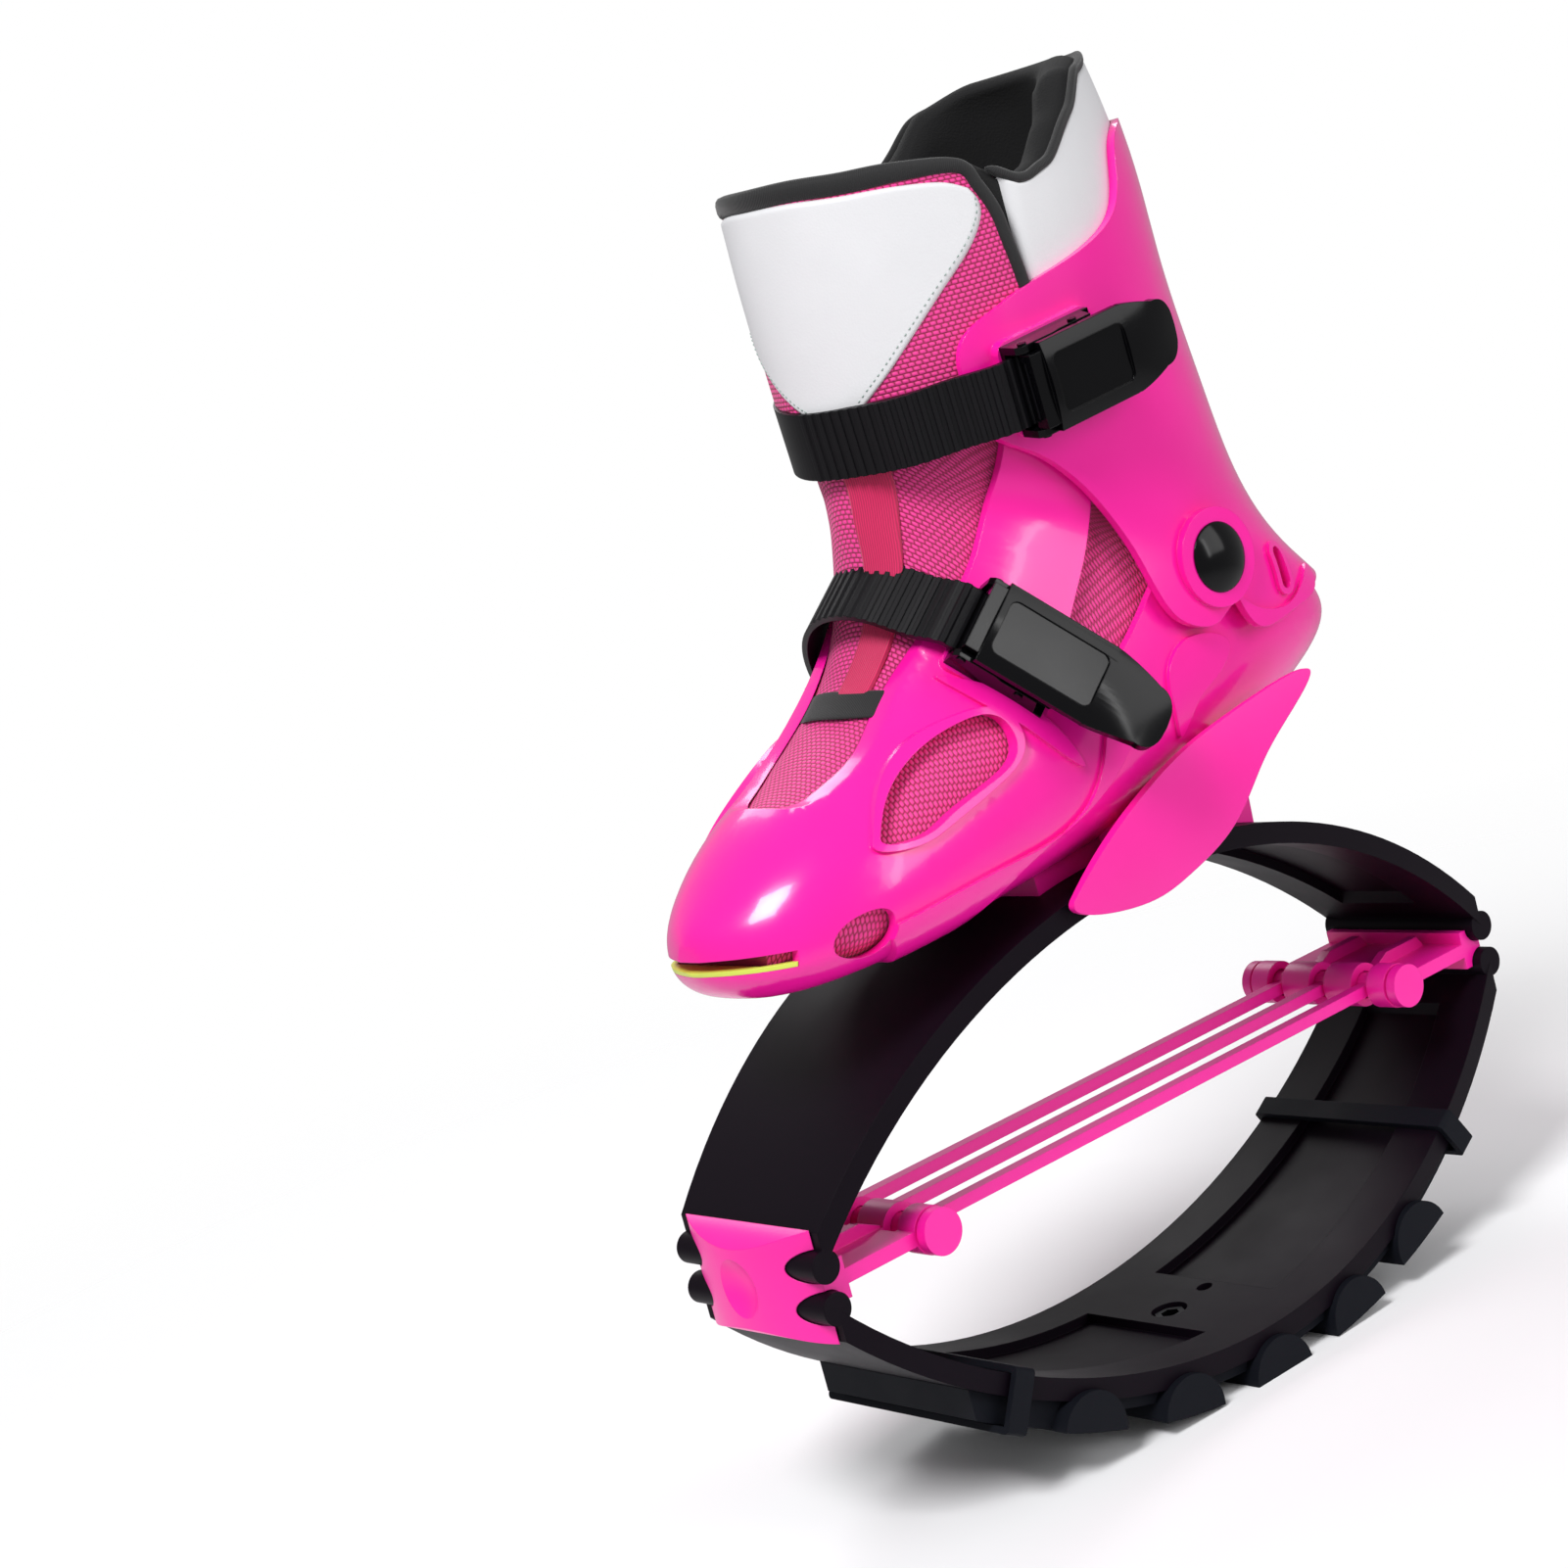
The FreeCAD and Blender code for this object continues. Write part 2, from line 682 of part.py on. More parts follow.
def sole_height(x):
    """Underside of the shell at the middle of the foot."""
    lows = [(s[2], s[3]) for s in STATIONS[:FIRST_UPPER_BACK]]
    for (x0, z0), (x1, z1) in zip(lows, lows[1:]):
        if x0 <= x <= x1:
            return z0 + (z1 - z0) * (x - x0) / (x1 - x0)
    return lows[0][1]


def nut_floor(x):
    return sole_height(x) + shell_wall * 0.6


def sole_block(bodies):
    """Pedestal that fills the space between the upper arc and the sole."""
    block = prism(straight_edges(BLOCK_SIDE, -block_half_width), -block_half_width, block_half_width)
    radius = ring_radius() + arc_thickness
    block = block.cut(rod_across(0, upper_arc_centre(), radius, -60, 60))
    block = block.cut(bodies["shell"])
    for x in bolt_places():
        block = block.cut(upright_rod(x, 0, 120, 260, bolt_radius + fit_gap))
    return block


def sole_bolts():
    shapes = []
    for x in bolt_places():
        seat = upper_arc_centre() + math.sqrt(ring_radius() ** 2 - (abs(x) + bolt_head_radius) ** 2) - 0.1
        head = upright_rod(x, 0, seat - bolt_head_height, seat, bolt_head_radius)
        head = head.cut(hex_prism(x, 0, seat - bolt_head_height - 1, seat - 1.5, bolt_hex * 2))
        shank = upright_rod(x, 0, seat - 1, nut_floor(x) + nut_height + 1, bolt_radius)
        shapes.append(fused([head, shank]))
    return Part.makeCompound(shapes)


def sole_nuts():
    shapes = []
    for x in bolt_places():
        low = nut_floor(x)
        nut = upright_rod(x, 0, low, low + nut_height, nut_radius)
        shapes.append(nut.cut(upright_rod(x, 0, low - 1, low + nut_height + 1, bolt_radius + 0.05)))
    return Part.makeCompound(shapes)


def wing(bodies):
    """Outer leaf-shaped guard with a raised vein and two bosses onto the shell."""
    leaf = smooth_prism(WING, -80, -40)
    centre_y = -wing_inner_face - wing_thickness + wing_bow_radius
    outer = Part.makeCylinder(wing_bow_radius, 300, V(-150, centre_y, wing_bow_height), V(1, 0, 0))
    inner = Part.makeCylinder(wing_bow_radius - wing_thickness, 300, V(-150, centre_y, wing_bow_height), V(1, 0, 0))
    plate = leaf.common(outer).cut(inner)
    plate = plate.cut(box(-200, 200, -wing_inner_face + 0.01, 0, 0, 400))
    shapes = [plate]
    for x, z in wing_bosses:
        boss = rod_across(x, z, wing_boss_radius, -wing_inner_face - 1, -20)
        shapes.append(boss.cut(bodies["shell"]).cut(box(-200, 200, -36, 0, 0, 400)))
    arc_radius = ring_radius() + arc_thickness
    guard = fused(shapes)
    return guard.cut(rod_across(0, upper_arc_centre(), arc_radius + fit_gap, -wing_inner_face, 0))


def cuff(bodies):
    """High-backed cuff, open at the front, with ankle bosses and a rear slot."""
    wall = bodies["cuff_outer"].cut(bodies["cuff_inner"])
    wall = wall.common(cuff_side())
    boss = rod_across(ankle_x, ankle_z, ankle_boss_radius, -ankle_boss_face, -30)
    for shape in both_sides(boss.cut(bodies["cuff_middle"])):
        wall = wall.fuse(shape)
    for plate in (outer_plate(CHEVRON), slot_plate(slot_rim)):
        plate = plate.common(bodies["cuff_relief"]).cut(bodies["cuff_middle"])
        for raised in both_sides(plate):
            wall = wall.fuse(raised)
    wall = wall.fuse(buckle_pad(upper_buckle_frame()).cut(bodies["cuff_middle"]))
    for plate in both_sides(slot_plate(0)):
        wall = wall.cut(plate)
    return wall.cut(rod_across(ankle_x, ankle_z, rivet_shank_radius + rivet_hole_gap, -80, 80))


def slot_plate(grow):
    half = slot_width / 2 + grow
    reach = slot_length / 2 - slot_width / 2
    shapes = [box(slot_x - half, slot_x + half, -70, -20, slot_z - reach, slot_z + reach)]
    for way in (-1, 1):
        shapes.append(rod_across(slot_x, slot_z + way * reach, half, -70, -20))
    return fused(shapes)


def ankle_rivets():
    """Domed cap, shank and inner flange, one on each side."""
    face = ankle_boss_face + rivet_hole_gap
    sphere_radius = (rivet_cap_radius ** 2 + rivet_cap_height ** 2) / (2 * rivet_cap_height)
    dome = Part.makeSphere(sphere_radius, V(ankle_x, -face - rivet_cap_height + sphere_radius, ankle_z))
    cap = dome.common(rod_across(ankle_x, ankle_z, rivet_cap_radius - 0.01, -face - rivet_cap_height - 1, -face))
    shank = rod_across(ankle_x, ankle_z, rivet_shank_radius, -face - 0.5, -ankle_inner_face + rivet_flange)
    flange = rod_across(ankle_x, ankle_z, rivet_flange_radius, -ankle_inner_face, -ankle_inner_face + rivet_flange)
    rivet = fused([cap, shank, flange])
    return Part.makeCompound(both_sides(rivet))


# Liner


def ray_point(angle, reach):
    """Point seen from the ankle axis, angle in degrees above the toe direction."""
    turn = math.radians(angle)
    return (ankle_x - reach * math.cos(turn), ankle_z + reach * math.sin(turn))


def foot_region():
    far = 260
    points = [(ankle_x, ankle_z), ray_point(foot_top_front, far), (-230, 120), (230, 120),
              ray_point(180 - foot_top_rear, far), (ankle_x, ankle_z)]
    return prism(straight_edges(points, -90), -90, 90)


def leg_region():
    far = 260
    front = foot_top_front + flex_forward + flex_margin
    rear = 180 - foot_top_rear - flex_back - flex_margin
    points = [(ankle_x, ankle_z), ray_point(front, far), (-230, 520), (230, 520),
              ray_point(rear, far), (ankle_x, ankle_z)]
    return prism(straight_edges(points, -90), -90, 90)


def liner_foot(bodies):
    foot = bodies["liner"].cut(bodies["liner_inner"]).common(foot_region())
    for rivet in both_sides(rod_across(ankle_x, ankle_z, rivet_flange_radius + 0.5, -60, -30)):
        foot = foot.cut(rivet)
    for x in bolt_places():
        foot = foot.cut(upright_rod(x, 0, 150, nut_floor(x) + nut_height + 1.5, nut_radius + 0.5))
    return foot


def insole(bodies):
    cavity = bodies["liner_inner"]
    lifted = cavity.copy()
    lifted.translate(V(0, 0, insole_thickness))
    floor = cavity.cut(lifted).common(box(insole_front, insole_rear, -60, 60, 150, 240))
    return max(floor.Solids, key=lambda solid: solid.Volume)


def flex_clearance(bodies):
    """What the shell flaps meet of the collar when the cuff leans forward."""
    side = prism(straight_edges(FLAP_SWEEP, -side_reach), -side_reach, side_reach)
    flaps = bodies["strap_low"].cut(bodies["liner"]).common(side)
    leaning = []
    for share in flex_shares:
        turned = flaps.copy()
        turned.rotate(V(ankle_x, 0, ankle_z), ACROSS, share * (flex_forward + flex_gap))
        leaning.append(turned)
    return leaning


def liner_collar(bodies):
    """Tall collar: snug part under the shell flaps, padded part above them."""
    low = bodies["collar_low"].common(box(-200, 200, -90, 90, 150, collar_step))
    high = bodies["collar_high"].common(box(-200, 200, -90, 90, collar_step, 520))
    collar = fused([low, high]).cut(bodies["collar_inner"])
    top = [smooth_edge(COLLAR_TOP, -90)]
    top += straight_edges([COLLAR_TOP[-1], (150, 200), (-90, 200), COLLAR_TOP[0]], -90)
    collar = collar.common(prism(top, -90, 90)).common(leg_region())
    for rivet in both_sides(rod_across(ankle_x, ankle_z, rivet_flange_radius + 0.8, -60, -30)):
        collar = collar.cut(rivet)
    return max(collar.Solids, key=lambda solid: solid.Volume)


# Buckles and straps, each built flat in its own frame:
# local x runs to the tail, local y across, local z outwards


def frame(origin, along, outward):
    along = V(along)
    along.normalize()
    outward = V(outward)
    outward = outward - along * outward.dot(along)
    outward.normalize()
    across = outward.cross(along)
    matrix = FreeCAD.Matrix(along.x, across.x, outward.x, origin.x,
                            along.y, across.y, outward.y, origin.y,
                            along.z, across.z, outward.z, origin.z,
                            0, 0, 0, 1)
    return matrix


def lower_buckle_frame():
    return frame(V(*lower_buckle_at), V(*lower_buckle_along), V(*lower_buckle_outward))


def upper_buckle_frame():
    return frame(V(*upper_buckle_at), V(*upper_buckle_along), V(*upper_buckle_outward))


def put(shape, matrix):
    moved = shape.copy()
    moved.transformShape(matrix, True)
    return moved


def buckle_half():
    return cheek_gap_half + cheek_thickness


def buckle_pad(matrix):
    """Flat seat for the buckle on the curved wall."""
    half = buckle_half()
    pad = box(cheek_front - 1, base_rear + 2, -half - 1, half + 1, -9, 0)
    upright = [e for e in pad.Edges if abs(e.tangentAt(e.FirstParameter).z) > 0.9]
    return put(pad.makeFillet(4, upright), matrix)


def cheek_outline():
    return [(cheek_front, 0), (cheek_front, lever_pin_height), (cheek_front + 1.5, cheek_height),
            (lever_neck - 1, cheek_height), (lever_neck + 2, cheek_height - 1), (cheek_rear, cheek_height - 1),
            (cheek_rear + 2, buckle_plate), (cheek_rear + 2, 0), (cheek_front, 0)]


def buckle_base(matrix):
    half = buckle_half()
    plate = box(cheek_front, base_rear, -half, half, 0, buckle_plate)
    shapes = [plate]
    for y0 in (-half, cheek_gap_half):
        shapes.append(prism(straight_edges(cheek_outline(), y0), y0, y0 + cheek_thickness))
    base = fused(shapes)
    for x, z in ((0, lever_pin_height), (pawl_pin_at, pawl_pin_height)):
        base = base.cut(rod_across(x, z, pin_radius + pin_gap, -half - 1, half + 1))
    for x in base_rivets:
        base = base.cut(Part.makeCylinder(base_rivet_radius + fit_gap, 20, V(x, 0, -10), UP))
    return put(base, matrix)


def buckle_pins(matrix):
    half = buckle_half() + 0.6
    shapes = [rod_across(0, lever_pin_height, pin_radius, -half, half),
              rod_across(pawl_pin_at, pawl_pin_height, pin_radius, -half, half)]
    return Part.makeCompound([put(shape, matrix) for shape in shapes])


def rivet(spot, outward, depth, gap):
    """Small blind rivet: flat head above the spot, shank below it."""
    shank = Part.makeCylinder(base_rivet_radius + gap, depth + gap, spot - outward * (depth + gap), outward)
    head = Part.makeCylinder(base_rivet_head + gap, base_rivet_head_height + gap, spot - outward * gap, outward)
    return fused([shank, head])


def buckle_rivets(matrix, gap=0.0):
    return [put(rivet(V(x, 0, buckle_plate), UP, rivet_depth, gap), matrix) for x in base_rivets]


def lever(matrix, length, window_rear):
    """Ratchet lever: narrow neck on the pin, broad window plate, leaf-shaped tail."""
    half = lever_half_width
    neck = cheek_gap_half - 0.4
    z0 = lever_bottom
    right = [V(lever_shoulder, half, z0), V(window_rear, half, z0), V(length - 10, half * 0.6, z0)]
    tip = V(length, 0, z0)
    left = [V(p.x, -p.y, z0) for p in reversed(right)]
    nose = Part.BSplineCurve()
    nose.interpolate(Points=[right[1], right[2], tip, left[0], left[1]])
    edges = [Part.makeLine(left[1], left[2]), Part.makeLine(left[2], right[0]), Part.makeLine(right[0], right[1]),
             nose.toShape()]
    plate = Part.Face(Part.Wire(edges)).extrude(V(0, 0, lever_thickness))
    crown = Part.makeCylinder(lever_crown_radius, 120, V(-20, 0, z0 + lever_thickness - lever_crown_radius), V(1, 0, 0))
    plate = plate.common(crown)
    window = box(lever_window_front, window_rear, -lever_window_half, lever_window_half,
                 z0 + lever_thickness - lever_window_depth, z0 + 20)
    upright = [e for e in window.Edges if abs(e.tangentAt(e.FirstParameter).z) > 0.9]
    plate = plate.cut(window.makeFillet(3, upright))
    shapes = [plate]
    shapes.append(box(lever_front, lever_shoulder + 1, -neck, neck, z0 - 0.6, z0 + lever_thickness - 1.8))
    for y0 in (-neck, neck - ear_thickness):
        ear = [(lever_front, z0), (lever_front, lever_pin_height - 0.5), (-1, lever_pin_height - 2.2),
               (1.5, lever_pin_height - 2.4), (4.5, lever_pin_height), (lever_neck - 2, z0), (lever_front, z0)]
        shapes.append(prism(straight_edges(ear, y0), y0, y0 + ear_thickness))
    body = fused(shapes)
    body = body.cut(rod_across(0, lever_pin_height, pin_radius + pin_gap, -30, 30))
    return put(body, matrix)


def pawl(matrix):
    """Spring catch under the lever, with a tooth over the strap."""
    half = pawl_half_width
    tip_z = buckle_plate + strap_gap + strap_core + strap_tooth + pawl_clearance
    outline = [(pawl_tip, tip_z), (pawl_tip + 2.5, tip_z + 0.2), (pawl_pin_at - 2, pawl_pin_height - 2.0),
               (pawl_tail, pawl_pin_height - 0.4), (pawl_tail, pawl_pin_height + 1.6),
               (pawl_pin_at + 1, pawl_pin_height + 2.4), (pawl_tip + 1, pawl_pin_height + 1.0), (pawl_tip, tip_z)]
    body = prism(straight_edges(outline, -half), -half, half)
    return put(body.cut(rod_across(pawl_pin_at, pawl_pin_height, pin_radius + pin_gap, -20, 20)), matrix)


def section_ring(body, matrix):
    """Outline of a body in the plane of a strap, in local x and z."""
    inverse = matrix.inverse()
    local = body.copy()
    local.transformShape(inverse, True)
    wires = local.slice(V(0, 1, 0), 0.0)
    wire = max(wires, key=lambda w: w.Length)
    return [(p.x, p.z) for p in wire.discretize(Number=240)]


def ring_pick(ring, centre, angle):
    """Point of the outline at an angle: 0 is straight ahead, 90 is outwards."""
    want = math.radians(angle)
    best = None
    for x, z in ring:
        turn = math.atan2(z - centre[1], -(x - centre[0]))
        miss = abs(turn - want)
        if best is None or miss < best[0]:
            best = (miss, x, z)
    return V(best[1], 0, best[2])


def strap(matrix, near, far, angles_near, angles_far, tail, turn_back, toothed):
    """Ladder strap: leaves the buckle, goes round the front and ends on the inner side."""
    low = buckle_plate + strap_gap
    ring_near = section_ring(near, matrix)
    ring_far = section_ring(far, matrix)
    xs = [p[0] for p in ring_near]
    zs = [p[1] for p in ring_near]
    centre = (min(xs) + (max(xs) - min(xs)) * strap_centre_share, (min(zs) + max(zs)) / 2)
    run = [V(tail, 0, low), V(tail - 12, 0, low), V(8, 0, low), V(0, 0, low), V(-7, 0, low)]
    run += [ring_pick(ring_near, centre, a) for a in angles_near]
    run += [ring_pick(ring_far, centre, a) for a in angles_far]
    run += [ring_pick(ring_near, centre, a) for a in turn_back]
    path = Part.BSplineCurve()
    path.interpolate(Points=run)
    length = path.length()
    count = int(length / (strap_pitch / 2))
    inner = []
    outer = []
    for k in range(count + 1):
        param = path.parameterAtDistance(length * k / count)
        point = path.value(param)
        tangent = path.tangent(param)[0]
        normal = V(-tangent.z, 0, tangent.x) * -1
        if normal.z < 0 and k < 3:
            normal = normal * -1
        inner.append(point)
        along = length * k / count
        has_tooth = toothed[0] < along < toothed[1]
        high = strap_core + (strap_tooth if has_tooth and k % 2 == 0 else 0)
        step = tangent * (strap_pitch * 0.22)
        outer.append(point + normal * high - step)
        outer.append(point + normal * high + step)
    loop = inner + list(reversed(outer))
    face = Part.Face(Part.makePolygon(loop + loop[:1]))
    band = face.extrude(V(0, strap_width, 0))
    band.translate(V(0, -strap_width / 2, 0))
    return put(band, matrix), run


def anchor_rivets(matrix, run, gap=0.0):
    """Rivet through the inner end of a strap, square to it."""
    end = run[-1]
    before = run[-2]
    spot = before + (end - before) * 0.5
    tangent = end - before
    tangent.normalize()
    normal = V(tangent.z, 0, -tangent.x)
    return [put(rivet(spot + normal * strap_core, normal, rivet_depth, gap), matrix)]


def main():
    os.makedirs("parts", exist_ok=True)
    liner_offset = -shell_wall - liner_gap
    bodies = {
        "shell": boot_body(0),
        "shell_inner": boot_body(-shell_wall, FIRST_INNER_STATION, CUTTER),
        "shell_middle": boot_body(-shell_wall / 2, 1, CUTTER),
        "relief": boot_body(relief_height),
        "mouth_back": boot_body(-mouth_depth, FIRST_INNER_STATION, CUTTER),
        "cuff_inner": boot_body(cuff_gap, FIRST_CUFF_STATION - 1, CUTTER),
        "cuff_middle": boot_body(cuff_gap + cuff_wall / 2, FIRST_CUFF_STATION - 1, CUTTER),
        "cuff_outer": boot_body(cuff_gap + cuff_wall, FIRST_CUFF_STATION),
        "cuff_relief": boot_body(cuff_gap + cuff_wall + relief_height, FIRST_CUFF_STATION),
        "liner": boot_body(liner_offset, FIRST_INNER_STATION),
        "liner_inner": boot_body(liner_offset - liner_wall, FIRST_INNER_STATION + 1, CUTTER),
        "collar_low": boot_body(-collar_inset, FIRST_INNER_STATION + 1),
        "collar_high": boot_body(collar_swell, FIRST_CUFF_STATION),
        "collar_inner": boot_body(collar_swell - collar_wall - 4, FIRST_CUFF_STATION - 1, CUTTER),
        "strap_low": boot_body(strap_over_shell),
        "seat_low": boot_body(base_seat_gap),
        "seat_high": boot_body(cuff_gap + cuff_wall + base_seat_gap, FIRST_CUFF_STATION),
        "strap_high": boot_body(cuff_gap + cuff_wall + strap_over_body, FIRST_CUFF_STATION),
        "strap_liner": boot_body(collar_swell + strap_over_body, FIRST_CUFF_STATION),
    }
    low = lower_buckle_frame()
    high = upper_buckle_frame()
    strap_lower, run_lower = strap(low, bodies["strap_low"], bodies["strap_low"], (60, 42, 25), (8, -8), 34,
                                   (-27, -46, -66, -85), (0, 95))
    strap_upper, run_upper = strap(high, bodies["strap_high"], bodies["strap_liner"], (60, 45), (25, 8, -8, -25), 34,
                                   (-45, -62, -80, -95), (0, 110))
    shell = lower_shell(bodies)
    guard = wing(bodies).cut(shell)
    leg = cuff(bodies)
    foot = liner_foot(bodies)
    collar = liner_collar(bodies)
    collar = largest(collar.cut(flex_clearance(bodies)))
    base_lower = largest(buckle_base(low).cut(bodies["seat_low"]).cut(shell))
    base_upper = largest(buckle_base(high).cut(bodies["seat_high"]).cut(leg))
    strap_lower = strap_lower.cut(shell).cut(buckle_base(low))
    strap_upper = strap_upper.cut(leg).cut(buckle_base(high)).cut(collar)
    for hole in buckle_rivets(low, fit_gap) + anchor_rivets(low, run_lower, fit_gap):
        shell = shell.cut(hole)
        foot = foot.cut(hole)
        strap_lower = strap_lower.cut(hole)
    for hole in buckle_rivets(high, fit_gap) + anchor_rivets(high, run_upper, fit_gap):
        leg = leg.cut(hole)
        collar = collar.cut(hole)
        strap_upper = strap_upper.cut(hole)
    shapes = {
        "upper_arc": upper_arc(),
        "lower_arc": lower_arc(),
        "outsole": outsole(),
        "outsole_bolt": outsole_bolt(),
        "outsole_nut": outsole_nut(),
        "loop_front": rubber_loop(loop_angle_front),
        "loop_rear": rubber_loop(loop_angle_rear),
        "connector_rear": connector(),
        "connector_front": connector().mirror(V(0, 0, 0), V(1, 0, 0)),
        "tension_spring": tension_spring(),
        "lower_shell": shell,
        "toe_lip": toe_lip(bodies),
        "sole_block": sole_block(bodies),
        "sole_bolts": sole_bolts(),
        "sole_nuts": sole_nuts(),
        "wing_outer": guard,
        "wing_inner": mirrored(wing(bodies)).cut(shell),
        "cuff": leg,
        "ankle_rivets": ankle_rivets(),
        "liner_foot": foot,
        "liner_collar": collar,
        "insole": insole(bodies),
        "strap_lower": strap_lower,
        "strap_upper": strap_upper,
        "buckle_base_lower": base_lower,
        "buckle_base_upper": base_upper,
        "buckle_pins_lower": buckle_pins(low),
        "buckle_pins_upper": buckle_pins(high),
        "lever_lower": lever(low, lower_lever_length, lower_window_rear),
        "lever_upper": lever(high, upper_lever_length, upper_window_rear),
        "pawl_lower": pawl(low),
        "pawl_upper": pawl(high),
        "rivets_boot": Part.makeCompound(buckle_rivets(low) + anchor_rivets(low, run_lower)),
        "rivets_cuff": Part.makeCompound(buckle_rivets(high) + anchor_rivets(high, run_upper)),
    }
    for name, shape in shapes.items():
        save(name, shape)
        print(name, shape.isValid(), len(shape.Solids), round(shape.Volume), [round(v, 1) for v in (
            shape.BoundBox.XMin, shape.BoundBox.XMax, shape.BoundBox.YMin, shape.BoundBox.YMax,
            shape.BoundBox.ZMin, shape.BoundBox.ZMax)])


if __name__ == "__main__":
    main()
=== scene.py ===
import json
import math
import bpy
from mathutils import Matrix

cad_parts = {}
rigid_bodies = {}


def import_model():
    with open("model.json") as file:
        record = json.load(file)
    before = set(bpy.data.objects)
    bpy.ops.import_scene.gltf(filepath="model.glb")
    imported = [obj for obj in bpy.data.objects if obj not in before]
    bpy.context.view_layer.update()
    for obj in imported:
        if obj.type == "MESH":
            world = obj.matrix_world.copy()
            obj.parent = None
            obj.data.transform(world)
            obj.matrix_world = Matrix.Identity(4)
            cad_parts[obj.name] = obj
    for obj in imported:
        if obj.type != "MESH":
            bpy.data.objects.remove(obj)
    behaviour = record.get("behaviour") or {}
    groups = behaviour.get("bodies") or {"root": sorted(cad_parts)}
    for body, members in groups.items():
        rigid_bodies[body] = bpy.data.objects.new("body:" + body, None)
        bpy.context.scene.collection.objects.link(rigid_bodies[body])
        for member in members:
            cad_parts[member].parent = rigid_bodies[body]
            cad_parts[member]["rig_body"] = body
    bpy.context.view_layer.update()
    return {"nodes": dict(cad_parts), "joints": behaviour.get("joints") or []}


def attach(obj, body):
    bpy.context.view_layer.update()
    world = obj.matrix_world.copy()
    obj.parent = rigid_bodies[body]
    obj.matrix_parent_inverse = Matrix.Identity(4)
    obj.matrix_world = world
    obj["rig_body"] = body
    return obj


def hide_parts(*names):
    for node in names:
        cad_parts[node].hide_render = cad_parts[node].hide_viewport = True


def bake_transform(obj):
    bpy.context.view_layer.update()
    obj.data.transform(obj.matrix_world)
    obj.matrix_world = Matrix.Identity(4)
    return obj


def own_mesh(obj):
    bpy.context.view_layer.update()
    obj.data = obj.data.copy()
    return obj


bl_info = {
    "name": "Rebound Jumping Boot",
    "version": (1, 0, 0),
    "blender": (4, 5, 0),
    "location": "View3D > Sidebar > Boot",
    "description": "Dresses the left rebound jumping boot with its moulded, woven and padded parts",
    "category": "Object",
}

import bmesh
import bpy
from mathutils import Matrix, Vector, noise

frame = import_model()

MM = 0.001
PER_METRE = 1000
FULL_TURN = 360.0
FRONT = 180.0
WELD = 0.00001
NODE_WELD = 0.000004
NODE_SLIVER = 0.000002
CUT_WELD = 0.000001
NODE_CREASE = 32.0
SHELL_CREASE = 38.0
STRAP_CREASE = 25.0
BUCKLE_CREASE = 30.0

# Sections of the boot from toe to leg, in millimetres:
# front x and z, back x and z, half width, roundness of the back, sideways shift
SECTIONS = [
    (-159.5, 207.5, -159.3, 197.5, 5.0, 2.0, -6.0),
    (-156.0, 213.0, -155.5, 191.5, 15.0, 2.2, -6.0),
    (-149.5, 219.0, -149.0, 186.5, 25.5, 2.4, -5.5),
    (-137.0, 229.0, -136.5, 183.0, 35.5, 2.6, -5.0),
    (-121.0, 238.5, -120.0, 182.0, 43.0, 2.8, -4.0),
    (-104.0, 246.0, -98.0, 182.5, 48.0, 3.0, -2.5),
    (-86.0, 256.5, -68.0, 184.0, 51.0, 3.0, -1.0),
    (-70.0, 269.5, -30.0, 186.5, 52.0, 2.9, 0.0),
    (-59.5, 283.5, 15.0, 190.0, 51.0, 2.7, 0.0),
    (-55.5, 299.5, 70.0, 198.5, 49.5, 2.5, 0.0),
    (-54.0, 314.5, 120.0, 214.5, 47.5, 2.4, 0.0),
    (-53.0, 325.5, 141.0, 230.5, 46.5, 2.3, 0.0),
    (-53.0, 335.5, 126.5, 254.5, 46.5, 2.2, 0.0),
    (-53.0, 350.5, 109.0, 285.5, 47.0, 2.1, 0.0),
    (-53.5, 372.5, 101.0, 322.5, 47.5, 2.1, 0.0),
    (-53.5, 397.5, 94.5, 367.5, 48.5, 2.1, 0.0),
    (-53.0, 422.5, 91.0, 414.5, 49.0, 2.1, 0.0),
    (-53.0, 460.5, 80.0, 454.5, 49.5, 2.1, 0.0),
    (-53.0, 494.5, 68.0, 488.5, 49.5, 2.1, 0.0),
]
TOE_SHARE = 0.62
LEG_SHARE = 0.5
LAST_FOOT_SECTION = 6
LOWEST_PLACE = 3.0
HIGHEST_PLACE = 17.95
LAST_ROW_GAP = 0.0001

# Side outline of the collar's rim, x and z in millimetres
RIM_SOFTNESS = 0.35
RIM_LOW = 380.0
RIM_HIGH = 455.0
RIM_ROUNDS = 18
COLLAR_RIM = [
    (-90, 428.5), (-60, 428.5), (-20, 426.5), (-4, 421.5), (6, 414.5), (16, 410.0), (28, 413.5), (44, 427.0),
    (57, 440.0), (74, 445.0), (150, 446.5),
]

# A point inside the collar, in metres
COLLAR_CENTRE = (0.020, 0.0, 0.380)

# Camera: place in metres and its three axes
LENS = 71.94
SENSOR = 36.0
CAMERA_PLACE = (-0.68625, -0.80647, 0.40238)
CAMERA_RIGHT = (0.75723191, -0.59987454, -0.25836093)
CAMERA_UP = (0.30166339, -0.02963436, 0.95295383)
CAMERA_BACK = (-0.57930911, -0.79954508, 0.1585201)

